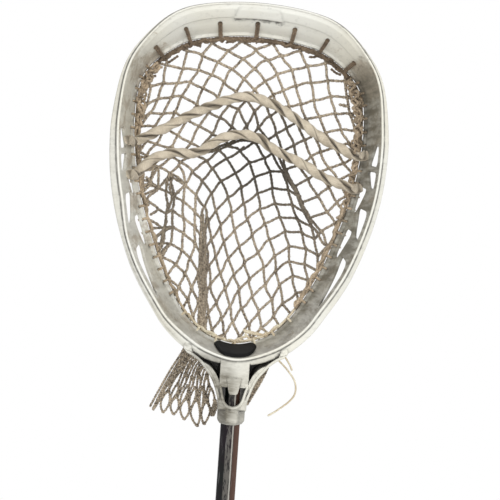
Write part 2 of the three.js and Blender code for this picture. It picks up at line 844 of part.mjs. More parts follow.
function shootingPath(shares, restShare) {
  const lift = laceReach + netCord * restShare + seatGap;
  const route = pathOf(shares.map(([across, down]) => new THREE.Vector3(across, down, 0)));
  const points = route.getPoints(4 * shares.length).map(({ x, y }) => {
    const at = netPoint(x, y);
    return at.setY(at.y - lift);
  });
  const ends = [shares[0], shares[shares.length - 1]].map(([across, down]) => {
    const sidePlace = topCornerShare + (footCornerShare - topCornerShare) * down;
    const frame = ringFrame(across < 0 ? 1 - sidePlace : sidePlace);
    const y = netPoint(across, down).y - lift - frame.front;
    return ringPoint(frame, wallInner(frame, y / frame.height) - laceEndGap, y);
  });
  return pathOf([ends[0], ...points, ends[1]]);
}

function shootingString(name, shares, restShare) {
  const curve = shootingPath(shares, restShare);
  const turns = Math.round(curve.getLength() / laceTwist);
  const steps = turns * 8;
  const shift = laceThickness / 2 + seatGap / 2;
  return [-1, 1].map((side, k) =>
    piece(
      name + "_lace_" + (k + 1),
      geometryOf(cordBody(curve, steps, laceWidth, laceThickness, 6, turns, side * shift)),
      lace,
    ),
  );
}

// Foam pad on the inside of the throat
function ballStopPad() {
  const columns = 10;
  const rings = padShares.map(([share, width]) => {
    const faceAt = (depth) =>
      Array.from({ length: columns + 1 }, (_, k) => {
        const place = placeOf(padWidth * width * (k / columns - 0.5));
        const frame = ringFrame(place);
        return ringPoint(frame, wallInner(frame, share) - depth, share * frame.height);
      });
    return [...faceAt(padSeat), ...faceAt(padSeat + padThickness).reverse()];
  });
  return piece("ball_stop_pad", geometryOf(solid(loft(rings))), foam);
}

// Loose ends of the bottom string: round from its back over the rail in a gentle bend, then free
function looseString(name, place, free, steps) {
  const frame = ringFrame(place);
  const lean = THREE.MathUtils.degToRad(looseLean);
  const reach = railCord / 2 + seatGap;
  const bend = [1, 0.65, 0.3, 0].map((share) => {
    const angle = share * lean;
    const n = reach * Math.cos(lean) + looseBend * (Math.sin(lean) - Math.sin(angle));
    const y = reach * Math.sin(lean) + looseBend * (Math.cos(angle) - Math.cos(lean));
    const at = railPoint(place, cordSeat, y);
    return at.addScaledVector(frame.out, n);
  });
  const rest = free.map(([x, y, z]) => new THREE.Vector3(x, y, collarBase + z));
  const curve = pathOf([...bend, ...rest]);
  return piece(name, geometryOf(cordBody(curve, steps, stringDiameter, stringDiameter, 8)), cream);
}

const group = new THREE.Group();
group.add(headFrame(), headScrew(), shaft(), buttCap(), ballStopPad());
group.add(piece("pocket_net", netGeometry(netPoint, netColumns, netRows), meshCord));
group.add(piece("mesh_tail", netGeometry(tailPoint, tailColumns, tailRows), meshCord));
group.add(topString());
group.add(railCordPiece("side_string_right", topCornerShare, footCornerShare, 30, tan));
group.add(railCordPiece("side_string_left", 1 - topCornerShare, 1 - footCornerShare, 30, tan));
group.add(railCordPiece("bottom_string", -footCornerShare, footCornerShare, 22, cream));
group.add(...shootingString("upper_shooter", upperRouteShares, upperRestShare));
group.add(...shootingString("lower_shooter", lowerRouteShares, lowerRestShare));
group.add(looseString("loose_string_long", looseLongShare, looseLong, 24));
group.add(looseString("loose_string_short", looseShortShare, looseShort, 13));
export default group;
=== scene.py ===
"""Lacrosse goalie stick: the moulded head, shaft and stringing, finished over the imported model."""
import math

import bmesh
import bpy
import numpy as np
from bpy.props import FloatProperty, FloatVectorProperty, PointerProperty
from mathutils import Matrix, Vector
from mathutils.bvhtree import BVHTree
from mathutils.kdtree import KDTree


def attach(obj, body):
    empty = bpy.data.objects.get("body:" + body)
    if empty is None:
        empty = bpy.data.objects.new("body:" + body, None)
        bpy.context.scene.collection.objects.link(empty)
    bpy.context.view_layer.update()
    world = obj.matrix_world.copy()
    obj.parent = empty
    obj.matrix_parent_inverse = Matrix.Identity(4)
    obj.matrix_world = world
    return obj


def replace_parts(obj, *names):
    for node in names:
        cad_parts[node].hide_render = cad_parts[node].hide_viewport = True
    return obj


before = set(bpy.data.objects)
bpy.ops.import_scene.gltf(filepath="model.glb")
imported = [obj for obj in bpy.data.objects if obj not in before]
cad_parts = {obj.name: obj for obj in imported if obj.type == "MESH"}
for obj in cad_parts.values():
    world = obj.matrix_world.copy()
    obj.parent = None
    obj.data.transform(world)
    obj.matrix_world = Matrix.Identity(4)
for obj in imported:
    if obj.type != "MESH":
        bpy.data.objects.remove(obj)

bl_info = {
    "name": "Lacrosse Goalie Stick",
    "version": (1, 0, 0),
    "blender": (4, 5, 0),
    "location": "View3D > Sidebar > Stick",
    "description": "Builds the moulded head, strung pocket and shaft of a lacrosse goalie stick",
    "category": "Object",
}

BODY = "root"


def length(name, description, default):
    """A size in metres, as a property."""
    return FloatProperty(
        name=name, description=description, default=default, min=0.0, precision=5,
        unit="LENGTH", subtype="DISTANCE",
    )


def colour(name, description, default):
    """A surface colour, as a property."""
    return FloatVectorProperty(
        name=name, description=description, default=default, min=0.0, max=1.0, size=3,
        subtype="COLOR",
    )


class StickHeadSizes(bpy.types.PropertyGroup):
    """Sizes of the moulded head."""

    half_width: length("Half width", "From the middle of the head to its crest", 0.152)
    mouth_length: length("Length", "From the throat's crest to the scoop's crest", 0.410)
    throat_rise: length("Throat rise", "From the collar's foot to the throat's crest", 0.077)
    collar_foot: length("Collar foot", "Height of the collar's foot above the butt end", 0.948)
    crest_front: length("Crest front", "How far the crest stands in front of the shaft's axis", 0.023)
    scoop_lean: length("Scoop lean", "How much further forward the scoop stands", 0.004)
    bead: length("Bead", "Half width of the bead along the crest", 0.0014)
    band: length("Band", "Width of the sloping outer band", 0.0135)
    swell: length("Swell", "How far the crest bows out over the lower band", 0.003)
    inset: length("Wall inset", "How far the wall slopes in", 0.027)
    height: length("Wall height", "Depth of the wall from the crest to the rail", 0.050)
    wall: length("Wall thickness", "Thickness of the wall", 0.0036)
    rail: length("Rail", "How far the rear rail stands out from the wall", 0.0015)
    rail_height: length("Rail height", "Depth of the rear rail", 0.0055)
    step: length("Scoop step", "Height of the step across the scoop", 0.0008)


class StickThroatSizes(bpy.types.PropertyGroup):
    """Sizes of the throat, collar and plate."""

    spread: length("Arm spread", "Half width at which the arms meet the ring", 0.062)
    depth: length("Depth", "Front to back size of the throat", 0.041)
    edge: length("Edge", "Rounding of the throat's edges", 0.0026)
    collar_height: length("Collar height", "Height of the collar band", 0.0145)
    collar_chamfer: length("Collar chamfer", "Height of the sloping foot", 0.004)
    collar_wall: length("Collar wall", "Wall of the collar round the shaft", 0.0051)
    plate_half: length("Plate half width", "Half width of the plate over the shaft's end", 0.0167)
    rear_web: length("Rear web", "Thickness of the web that closes the hollows", 0.004)
    bead: length("Arm bead", "Width of the bead along each arm's front edge", 0.0034)
    fit: length("Fit", "Clearance between the shaft and its socket", 0.00035)
    screw_rise: length("Screw rise", "Height of the head screw above the collar's foot", 0.030)


class StickShaftSizes(bpy.types.PropertyGroup):
    """Sizes of the shaft and the butt cap."""

    length: length("Length", "Length of the shaft with its cap", 1.016)
    width: length("Width", "Side to side size of the section", 0.0222)
    depth: length("Depth", "Front to back size of the section", 0.0266)
    flat: length("Flat", "Width of the front flat", 0.008)
    side_flat: length("Side flat", "Width of the side flats", 0.010)
    wall: length("Wall", "Wall of the tube", 0.0016)
    edge: length("Edge", "Rounding of the section's corners", 0.0012)
    cap_height: length("Cap height", "Height of the butt cap's sleeve", 0.030)
    cap_floor: length("Cap floor", "Thickness of the butt cap's end", 0.005)
    cap_wall: length("Cap wall", "Wall of the butt cap's sleeve", 0.0023)
    rib: length("Rib", "Depth of the grooves round the butt cap", 0.0006)


class StickCordSizes(bpy.types.PropertyGroup):
    """Sizes of the strings, laces and mesh."""

    mesh_cord: length("Mesh cord", "Diameter of the cord that the mesh is knotted from", 0.0028)
    string: length("String", "Diameter of the loose and top strings", 0.0024)
    rail_cord: length("Rail string", "Diameter of the strings along the rail", 0.0034)
    seat: length("Seat", "Clearance between touching pieces", 0.0003)
    pocket: length("Pocket depth", "How far the ball channel hangs behind the rail", 0.062)
    flank: length("Flank depth", "How far the rest of the mesh hangs", 0.010)
    tail_drop: length("Tail drop", "How far the tail of the mesh stands off at its foot", 0.012)
    lace_width: length("Lace width", "Width of a shooting lace", 0.0096)
    lace_thickness: length("Lace thickness", "Thickness of a shooting lace", 0.0034)
    lace_turn: length("Lace turn", "Length of one turn of a twisted pair of laces", 0.060)


class StickColours(bpy.types.PropertyGroup):
    """Colours of the finishes."""

    plastic: colour("Plastic", "Moulded plastic where it is clean", (0.8, 0.795, 0.73))
    # Grey: the colour of painted shade over the head's shaded faces, with some dirt in it
    grey: colour("Grey", "Plastic under a film of dirt", (0.16, 0.145, 0.11))
    stain: colour("Stain", "Dry soil rubbed into the plastic", (0.36, 0.28, 0.19))
    # Dark colour of scuffs and grey wear, also used as the painted shade in grooves and hollows
    soot_and_shade: colour("Soot", "Dark scuffs and grey wear", (0.13, 0.12, 0.105))
    alloy: colour("Alloy", "Anodised shaft", (0.01, 0.006, 0.009))
    alloy_lit_side: colour("Alloy side", "Side flats, which catch a brown light", (0.1, 0.052, 0.036))
    print_worn: colour("Worn print", "Flaking print on the front flat", (0.13, 0.122, 0.11))
    mesh_light: colour("Mesh light", "Light fibres of the mesh", (0.57, 0.475, 0.35))
    mesh_dark: colour("Mesh dark", "Dark fibres of the mesh", (0.085, 0.064, 0.045))
    lace: colour("Lace", "Shooting laces", (0.66, 0.58, 0.45))
    cream: colour("Cream", "Bottom string and its loose ends", (0.9, 0.85, 0.68))
    tan: colour("Tan", "Side strings", (0.62, 0.49, 0.34))
    brown: colour("Brown", "Top string", (0.125, 0.09, 0.058))
    rubber: colour("Rubber", "Butt cap", (0.016, 0.016, 0.017))
    foam: colour("Foam", "Ball stop pad", (0.007, 0.007, 0.007))
    steel: colour("Steel", "Head screw", (0.55, 0.55, 0.54))
    floor: colour("Floor", "Floor under the stick", (0.8, 0.8, 0.8))


# Half width and height of the crest, from the throat round to the scoop
CREST = [
    (0, 0), (0.197, 0.017), (0.342, 0.046), (0.5, 0.101), (0.605, 0.157), (0.704, 0.213),
    (0.786, 0.269), (0.898, 0.381), (0.969, 0.493), (1, 0.605), (1, 0.665), (0.97, 0.773),
    (0.921, 0.829), (0.822, 0.885), (0.678, 0.9415), (0.553, 0.9695), (0.395, 0.9866),
    (0.197, 0.9968), (0, 1),
]

# Section of the ring from throat to scoop: outer band, inward slope, height and bow of the wall
SECTION = [
    (0, 0.5, 0.44, 0.96, 0), (0.1, 0.93, 0.4, 0.98, 0), (0.2, 1, 0.48, 1, 0),
    (0.32, 0.9, 0.66, 1, 0), (0.45, 0.83, 0.6, 1, 0), (0.56, 0.7, 0.48, 1, 0),
    (0.66, 0.48, 0.4, 1, 0), (0.73, 0.36, 0.52, 0.98, 0.05), (0.81, 0.22, 0.86, 0.92, 0.12),
    (0.89, 0.14, 1.0, 0.86, 0.16), (1, 0.12, 1, 0.84, 0.16),
]

# Where the crest bows out over the lower band: rise and fall along the ring, and how much, on the
# right side and on the left
SWELLS = ((0.06, 0.17, 0.64, 0.42, 1.0), (0.09, 0.2, 0.43, 0.33, 1.6))

# Wall windows: start and end up the head, then the near and far edge across the wall at each end
WINDOWS = [
    (0.155, 0.305, 0.14, 0.3, 0.14, 0.55), (0.29, 0.385, 0.64, 0.82, 0.46, 0.82),
    (0.355, 0.45, 0.14, 0.36, 0.14, 0.62), (0.43, 0.515, 0.66, 0.82, 0.42, 0.82),
    (0.505, 0.56, 0.14, 0.34, 0.14, 0.56), (0.57, 0.635, 0.14, 0.56, 0.14, 0.34),
]

# Arms of the throat in shares of their spread and of the throat's rise: outer, then inner edge
ARM_OUTER = [
    (0.265, 0.235), (0.268, 0.3), (0.287, 0.407), (0.33, 0.522), (0.39, 0.646), (0.47, 0.761),
    (0.557, 0.847), (0.66, 0.943), (0.8, 1.029), (0.98, 1.124), (0.9, 1.325),
]
ARM_INNER = [
    (0, 0.278), (0.1, 0.302), (0.175, 0.374), (0.213, 0.479), (0.247, 0.582), (0.29, 0.686),
    (0.363, 0.79), (0.475, 0.881), (0.63, 0.947), (0.8, 1.057), (0.85, 1.325),
]
ARM_TOP = 1.3
PLATE_FOOT = 0.579
TONGUE = [(0.0033, 0.468), (0.0052, 0.492), (0.0062, 0.54), (0.009, 0.723)]

# Places round the ring, as shares of its length from the middle of the throat
TOP_CORNER, FOOT_CORNER, SCOOP_SPREAD = 0.364, 0.088, 0.122
LOOSE_LONG, LOOSE_SHORT = 0.031, 0.046
TAIL_SPAN, STRIP_SPAN = (-0.056, 0.02), (0.045, 0.05)

# Lacing holes: how many, the share of the wall's height that they stand at, and their radius
SCOOP_HOLES, SCOOP_HOLE_ACROSS, SCOOP_HOLE_RADIUS = 7, 0.5, 0.003
RAIL_HOLES, RAIL_HOLE_ACROSS, RAIL_HOLE_RADIUS = 19, 0.86, 0.0017

# Tangled stretches of the side strings: first and last place, strands, spread and seed
TANGLED_RUNS = {
    "side_string_right": [
        (0.366, 0.275, 7, 0.0068, 21), (0.29, 0.2, 4, 0.0042, 22), (0.2, 0.09, 3, 0.003, 23),
    ],
    "side_string_left": [
        (0.632, 0.71, 6, 0.0058, 31), (0.7, 0.8, 3, 0.0034, 32), (0.8, 0.91, 2, 0.002, 33),
    ],
    "bottom_string": [(-0.07, 0.06, 1, 0.0016, 41)],
}

# Ball stop pad: shares of its width at shares of the wall's height, then width, depth and seat
PAD = [(0.05, 0.5), (0.15, 0.7), (0.4, 0.9), (0.66, 1.0), (0.88, 0.84)]
PAD_WIDTH, PAD_THICK, PAD_SEAT = 0.0575, 0.003, 0.0008

# Bare pad in the middle of the scoop: half its width, its low and high edge as shares of the
# wall's height, how far it rises and how deep it is rooted
BARE_HALF, BARE_LOW, BARE_HIGH, BARE_RISE, BARE_ROOT = 0.0305, 0.075, 0.335, 0.0009, 0.0012

# Loose ends of the bottom string past the rail, as X, Y and height above the collar's foot
LONG_END = [
    (0.0319, 0.0276, 0.0914), (0.034, 0.0278, 0.0886), (0.0375, 0.028, 0.0857),
    (0.042, 0.0282, 0.0823), (0.047, 0.0284, 0.0789), (0.0515, 0.0284, 0.0755),
    (0.061, 0.0278, 0.0675), (0.069, 0.027, 0.059), (0.0755, 0.027, 0.050),
    (0.078, 0.027, 0.041), (0.077, 0.027, 0.0325), (0.0715, 0.027, 0.0245),
    (0.063, 0.027, 0.017), (0.0545, 0.027, 0.0105), (0.046, 0.027, 0.005),
]
SHORT_END = [
    (0.046, 0.0279, 0.099), (0.0477, 0.028, 0.0969), (0.0494, 0.0281, 0.0949),
    (0.0512, 0.0283, 0.0927), (0.053, 0.0284, 0.0905), (0.0548, 0.0284, 0.0882),
    (0.0566, 0.0284, 0.0858), (0.0584, 0.0283, 0.0834), (0.0602, 0.0281, 0.0809),
    (0.0619, 0.028, 0.0784), (0.0636, 0.0278, 0.076), (0.0653, 0.0276, 0.0737),
    (0.067, 0.0273, 0.0712), (0.069, 0.0271, 0.068), (0.0706, 0.027, 0.0649),
    (0.072, 0.027, 0.0615),
]

# Bend of a loose end over the rail: its radius, its angle, and the shares of it that hold a point
LOOSE_BEND = (0.005, math.radians(62), (1, 0.65, 0.3, 0))

# Make of the cords: their lay, and how much thicker than their named size they swell with use
RAIL_LAY = {"Plies": 3, "Pitch": 0.009, "Step": 0.0013, "Ply Share": 0.52, "Sides": 6}
TOP_LAY = {"Plies": 2, "Pitch": 0.0075, "Step": 0.0011, "Sides": 7}
MESH_LAY = {"Pitch": 0.0062, "Knot": 0.0056}
TOP_SWOLLEN, MESH_SWOLLEN, TAIL_SWOLLEN = 1.4, 1.54, 1.3
MESH_SLACK, MESH_SEED = 0.04, 7

# Tangle of the top string: strands, spread and seed
TOP_TANGLE = (4, 0.0028, 5)

# Section of a shooting string: half width and thickness against the lace's, and its squareness
LACE_HALF, LACE_THICK, LACE_SQUARE = 0.6, 0.74, 0.85

# Shade in the head's hollows: how near another face has to be, and the longest edge that holds it
HOLLOW_REACH, FINE_EDGE = 0.02, 0.0028

# Ends of the shooting strings on the wall, as shares of its height: left and right top, then foot
LACE_TOPS, LACE_FOOT = (0.35, 0.6), 0.72


def between(table, place):
    """Reads a table of shares at any place, as a smooth curve through its rows."""
    last = len(table) - 1
    k = 0
    while k < last - 1 and table[k + 1][0] < place:
        k += 1
    rows = [np.array(table[i], float) for i in (max(k - 1, 0), k, k + 1, min(k + 2, last))]
    span = rows[2][0] - rows[1][0]
    part = min(max((place - rows[1][0]) / span, 0), 1)

    def slope(a, b):
        return (b - a) / max(b[0] - a[0], span / 4) * span

    start, end, rise = slope(rows[0], rows[2]), slope(rows[1], rows[3]), rows[2] - rows[1]
    bend = 3 * rise - 2 * start - end + part * (start + end - 2 * rise)
    return rows[1] + part * (start + part * bend)


def smooth(low, high, value):
    """0 below low, 1 above high, and eased between them."""
    part = min(max((value - low) / (high - low), 0.0), 1.0)
    return part * part * (3 - 2 * part)


def bell(value, middle, width):
    """1 at the middle, and less the further off the value is."""
    return math.exp(-(((value - middle) / width) ** 2))


def circle(count, shift=0.0):
    """Angles of points round a circle, each on by a share of a step."""
    return [2 * math.pi * (k + shift) / count for k in range(count)]


class Path:
    """A smooth curve through points, read at shares of its length."""

    def __init__(self, points, closed=False, steps=40):
        p = np.array(points, float)
        if closed:
            padded = np.vstack([p[-1:], p, p[:2]])
        else:
            padded = np.vstack([2 * p[:1] - p[1:2], p, 2 * p[-1:] - p[-2:-1]])
        t = np.linspace(0, 1, steps, endpoint=False)[:, None]
        rows = []
        for a, b, c, d in zip(padded, padded[1:], padded[2:], padded[3:]):
            d0, d1, d2 = (max(math.sqrt(np.linalg.norm(v)), 1e-6) for v in (b - a, c - b, d - c))
            m1 = ((b - a) / d0 - (c - a) / (d0 + d1) + (c - b) / d1) * d1
            m2 = ((c - b) / d1 - (d - b) / (d1 + d2) + (d - c) / d2) * d1
            bend = 3 * (c - b) - 2 * m1 - m2 + t * (2 * (b - c) + m1 + m2)
            rows.append(b + t * (m1 + t * bend))
        self.points = np.vstack(rows + [p[:1] if closed else p[-1:]])
        steps = np.linalg.norm(np.diff(self.points, axis=0), axis=1)
        self.lengths = np.concatenate([[0], np.cumsum(steps)])
        self.length = float(self.lengths[-1])
        self.closed = closed

    def at(self, share):
        """Point at a share of the length."""
        share = np.asarray(share, float)
        reach = (share % 1 if self.closed else np.clip(share, 0, 1)) * self.length
        return np.stack([np.interp(reach, self.lengths, column) for column in self.points.T], axis=-1)

    def tangent(self, share):
        """Unit direction at a share of the length."""
        step = 1e-3
        if self.closed:
            way = self.at(share + step) - self.at(share - step)
        else:
            way = self.at(min(share + step, 1)) - self.at(max(share - step, 0))
        return way / np.linalg.norm(way)

    def spread(self, count):
        """A number of points at equal steps along the curve."""
        return self.at(np.linspace(0, 1, count))


class Ring:
    """The crest of the head, with the section that each place round it carries."""

    SAMPLES = 2400

    def __init__(self, sizes):
        self.sizes = sizes
        self.base = sizes.collar_foot + sizes.throat_rise
        left = [(-w, h) for w, h in CREST[-2:0:-1]]
        points = [
            (w * sizes.half_width, 0, self.base + h * sizes.mouth_length) for w, h in CREST + left
        ]
        self.crest = Path(points, closed=True)
        rows = []
        for k in range(self.SAMPLES + 1):
            place = k / self.SAMPLES
            along = 1 - abs(1 - 2 * place)
            point, way = self.crest.at(place), self.crest.tangent(place)
            _, band, inset, height, bow = between(SECTION, along)
            rise = (point[2] - self.base) / sizes.mouth_length
            front = -sizes.crest_front - sizes.scoop_lean * rise * rise
            start, full, end, fall, most = SWELLS[0] if place < 0.5 else SWELLS[1]
            push = most * sizes.swell * smooth(start, full, along) * smooth(end, fall, along)
            rows.append(
                [point[0] + way[2] * push, point[2] - way[0] * push, way[2], -way[0], front,
                 band * sizes.band - push, inset * sizes.inset + push, height * sizes.height, bow]
            )
        self.rows = np.array(rows)

    def read(self, place):
        """Section values at a place: X, Z, outward X and Z, front, band, inset, height, bow."""
        spot = (place % 1) * self.SAMPLES
        k = int(spot)
        return self.rows[k] + (self.rows[min(k + 1, self.SAMPLES)] - self.rows[k]) * (spot - k)

    def point(self, row, n, y):
        """The point out from the crest by n and back from it by y."""
        return np.array([row[0] + row[2] * n, row[4] + y, row[1] + row[3] * n])

    def turn(self, row, route, count):
        """A closed turn of cord through points given as n and y."""
        return Path([self.point(row, n, y) for n, y in route], closed=True).spread(count)

    def inner(self, row, share):
        """The wall's inner face at a share of its height, as a distance out from the crest."""
        bead = self.sizes.bead
        return -bead - (row[6] - bead) * (share + row[8] * math.sin(math.pi * share))

    def on_wall(self, place, share, depth=0.0):
        """A point on the wall's inner face, lifted off it into the head by a depth."""
        row = self.read(place)
        return self.point(row, self.inner(row, share) - depth, share * row[7])

    def rail(self, place, clear, back=0.0):
        """A point beside the rear rail's inner face."""
        row, s = self.read(place), self.sizes
        return self.point(row, self.inner(row, 1) - s.rail - clear, row[7] - s.rail + back)

    def place_at(self, share):
        """Place on the right side where the crest reaches a share of the head's length."""
        half = self.rows[: self.SAMPLES // 2 + 1, 1]
        spots = np.linspace(0, 0.5, len(half))
        return float(np.interp(self.base + share * self.sizes.mouth_length, half, spots))


def vectors(points):
    """Points as plain tuples, for from_pydata."""
    return [tuple(float(c) for c in p) for p in points]


def mesh_of(name, points, faces):
    """A mesh with its faces turned outwards."""
    mesh = bpy.data.meshes.new(name)
    mesh.from_pydata(vectors(points), [], [list(map(int, f)) for f in faces])
    shell = bmesh.new()
    shell.from_mesh(mesh)
    bmesh.ops.recalc_face_normals(shell, faces=shell.faces)
    shell.to_mesh(mesh)
    shell.free()
    return mesh


def loft(name, rings, closed=False):
    """A closed mesh through rings of points, which may close on the first."""
    count = len(rings[0])
    points = [p for ring in rings for p in ring]
    faces = []
    for r in range(len(rings) if closed else len(rings) - 1):
        near, far = r * count, (r + 1) % len(rings) * count
        for k in range(count):
            after = (k + 1) % count
            faces.append((near + k, near + after, far + after, far + k))
    if not closed:
        faces.append(tuple(reversed(range(count))))
        faces.append(tuple(range(len(points) - count, len(points))))
    return mesh_of(name, points, faces)


def finished(name, mesh, material, sharp=35.0):
    """Makes a piece of a mesh: smooth faces with sharp edges kept, one material, on the body."""
    mesh.materials.clear()
    mesh.materials.append(material)
    mesh.shade_smooth()
    mesh.set_sharp_from_angle(angle=math.radians(sharp))
    piece = bpy.data.objects.new(name, mesh)
    bpy.context.scene.collection.objects.link(piece)
    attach(piece, BODY)
    return piece


def grid_solid(name, columns, rows, spot):
    """A closed solid between two grids of points, read at places from -1 to 1 on each layer."""
    points, faces = [], []
    for layer in (0, 1):
        for j in range(rows + 1):
            for i in range(columns + 1):
                points.append(spot(2 * i / columns - 1, 2 * j / rows - 1, layer))

    def at(i, j, layer):
        return (layer * (rows + 1) + j) * (columns + 1) + i

    for j in range(rows):
        for i in range(columns):
            for k in (0, 1):
                faces.append((at(i, j, k), at(i + 1, j, k), at(i + 1, j + 1, k), at(i, j + 1, k)))
    for i in range(columns):
        for j in (0, rows):
            faces.append((at(i, j, 0), at(i + 1, j, 0), at(i + 1, j, 1), at(i, j, 1)))
    for j in range(rows):
        for i in (0, columns):
            faces.append((at(i, j, 0), at(i, j + 1, 0), at(i, j + 1, 1), at(i, j, 1)))
    return mesh_of(name, points, faces)


def combined(first, second, operation):
    """Joins one closed mesh with another, or cuts it with it."""
    one, two = (bpy.data.objects.new("combine", mesh) for mesh in (first, second))
    for item in (one, two):
        bpy.context.scene.collection.objects.link(item)
    modifier = one.modifiers.new("combine", "BOOLEAN")
    modifier.operation = operation
    modifier.solver = "MANIFOLD"
    modifier.object = two
    graph = bpy.context.evaluated_depsgraph_get()
    made = bpy.data.meshes.new_from_object(one.evaluated_get(graph), depsgraph=graph)
    if not made.polygons:
        raise RuntimeError(f"{operation} left nothing of {first.name}")
    for item in (one, two):
        bpy.data.objects.remove(item)
    return made


def joined(name, meshes):
    """Several meshes as one, without welding them."""
    shell = bmesh.new()
    for mesh in meshes:
        shell.from_mesh(mesh)
    whole = bpy.data.meshes.new(name)
    shell.to_mesh(whole)
    shell.free()
    return whole


def rounded(outline, radius, steps=2, most=0.45):
    """An outline with each corner rounded by a few points, over a share of its sides at most."""
    points = []
    corners = [np.array(c, float) for c in outline]
    for before, corner, after in zip(corners[-1:] + corners[:-1], corners, corners[1:] + corners[:1]):
        a, b = before - corner, after - corner
        a = corner + a * min(most, radius / np.linalg.norm(a))
        b = corner + b * min(most, radius / np.linalg.norm(b))
        for k in range(steps + 1):
            t = k / steps
            points.append(a * (1 - t) ** 2 + 2 * t * (1 - t) * corner + t * t * b)
    return points


def step_line(place):
    """Share of the wall's height at which the scoop's step runs."""
    return 0.3 + 0.12 * min(abs(place - 0.5) / 0.14, 1) ** 2


def ring_section(ring, place):
    """The ring's section at a place: bead, groove, band, wall and rail."""
    row, s = ring.read(place), ring.sizes
    band, height, bead = row[5], row[7], s.bead
    lip = band - bead
    under = bead * 3.2 + band * 0.32
    foot = ring.inner(row, 1)
    rail_top = height - s.rail_height - s.rail
    back = foot + s.wall + s.rail
    raised = s.step * smooth(0.62, 0.76, 1 - abs(1 - 2 * place))
    line = step_line(place)

    def inner(y):
        return ring.inner(row, y / height)

    outline = [
        (0, 0), (bead * 0.95, bead * 0.55), (bead + lip * 0.1, bead * 1.9),
        (bead + lip * 0.24, bead * 1.55 + band * 0.05), (bead + lip * 0.8, bead * 1.5 + band * 0.22),
        (band, bead * 2 + band * 0.3), (band - lip * 0.15, bead * 3 + band * 0.36),
        (inner(under) + s.wall, under), (inner(height * 0.5) + s.wall, height * 0.5),
        (inner(rail_top) + s.wall, rail_top), (back, height - s.rail_height),
        (back, height - s.rail), (foot + s.wall - 0.2 * s.rail, height), (foot, height),
        (foot - s.rail, height - s.rail), (foot - s.rail, height - s.rail_height),
        (inner(rail_top), rail_top),
    ]
    for share in (0.72, 0.6, 0.5):
        outline.append((inner(height * share), height * share))
    for share, lift in ((line + 0.014, 0), (line - 0.014, 1), (line * 0.6, 1), (line * 0.3, 1)):
        outline.append((inner(height * share) - lift * raised, height * share))
    outline += [(-bead, bead * 1.4), (-bead * 0.8, bead * 0.4)]
    return [ring.point(row, n, y) for n, y in rounded(outline, 0.0008)]


def ring_mesh(ring, stations=300):
    """The whole ring as one closed loft."""
    return loft("ring", [ring_section(ring, k / stations) for k in range(stations)], closed=True)


def mouth_mesh(ring, stations=200):
    """The space inside the wall's middle surface, which trims the throat to the ring."""
    levels = []
    for level in (-1, 0, 1, 2):
        share = min(max(level, 0), 1)
        level_ring = []
        for k in range(stations):
            row = ring.read(k / stations)
            n = ring.inner(row, share) + ring.sizes.wall / 2
            level_ring.append(ring.point(row, n, level * row[7]))
        levels.append(level_ring)
    return loft("mouth", levels)


def wall_cutter(ring, outline, mirrored, flare=0.0):
    """A cutter through the wall from an outline of places and shares, wider at both faces."""
    wall = ring.sizes.wall
    middle = np.mean(np.array(outline), axis=0)
    reach_of = np.array([1 / ring.crest.length, 1 / ring.sizes.height])
    rings = []
    for depth, grow in ((-1.5, 1), (-0.5, 1), (-0.24, 0), (0.24, 0), (0.5, 1), (1.5, 1)):
        level = []
        for spot in outline:
            way = (np.array(spot) - middle) / reach_of
            way *= flare * grow / max(np.linalg.norm(way), 1e-9)
            place, across = np.array(spot) + way * reach_of
            row = ring.read(1 - place if mirrored else place)
            n = ring.inner(row, across) + wall / 2 + depth * wall
            level.append(ring.point(row, n, across * row[7]))
        rings.append(level)
    return loft("cutter", rings)


def window_outline(ring, shares):
    """A wall window: four corners, each rounded."""
    start, end, near_start, far_start, near_end, far_end = shares
    low, high = ring.place_at(start), ring.place_at(end)
    lean = (high - low) * 0.12
    corners = [(low, near_start), (low + lean, far_start), (high, far_end), (high - lean, near_end)]
    return rounded(corners, math.inf, 5, 0.25)


def hole_outline(ring, place, across, radius, sides=14):
    """A round hole's outline on the wall."""
    around, over = radius / ring.crest.length, radius / ring.read(place)[7]
    return [(place + around * math.cos(a), across + over * math.sin(a)) for a in circle(sides)]


def scoop_places():
    """Places of the scoop's holes."""
    return [0.5 + SCOOP_SPREAD * (2 * k / (SCOOP_HOLES - 1) - 1) for k in range(SCOOP_HOLES)]


def rail_places():
    """Places of the lacing holes down the right side of the rail."""
    return list(np.linspace(TOP_CORNER - 0.006, FOOT_CORNER + 0.012, RAIL_HOLES))


def slab(outline, front, back, foot, edge=0.0, segments=3):
    """A plate with an X-Z outline, its height measured from foot, and its rims rounded."""
    shell = bmesh.new()
    near = [shell.verts.new((x, front, foot + z)) for x, z in outline]
    far = [shell.verts.new((x, back, foot + z)) for x, z in outline]
    shell.faces.new(near)
    shell.faces.new(reversed(far))
    for k in range(len(outline)):
        after = (k + 1) % len(outline)
        shell.faces.new((near[k], far[k], far[after], near[after]))
    bmesh.ops.recalc_face_normals(shell, faces=shell.faces)
    if edge:
        rims = [e for e in shell.edges if abs(e.verts[0].co.y - e.verts[1].co.y) < 1e-9]
        bmesh.ops.bevel(
            shell, geom=rims, offset=edge, segments=segments, profile=0.5, affect="EDGES",
            clamp_overlap=True,
        )
    bmesh.ops.remove_doubles(shell, verts=shell.verts, dist=1e-6)
    mesh = bpy.data.meshes.new("slab")
    shell.to_mesh(mesh)
    shell.free()
    return mesh


def octagon(sizes, extra, height, corner=0.0, steps=2):
    """The shaft's eight-sided section, larger by a clearance all round."""
    w, d = sizes.width / 2 + extra, sizes.depth / 2 + extra
    shift = extra * math.tan(math.pi / 8)
    f, s = sizes.flat / 2 + shift, sizes.side_flat / 2 + shift
    outline = [(f, -d), (w, -s), (w, s), (f, d), (-f, d), (-w, s), (-w, -s), (-f, -d)]
    if corner:
        outline = rounded(outline, corner, steps)
    return [(x, y, height) for x, y in outline]


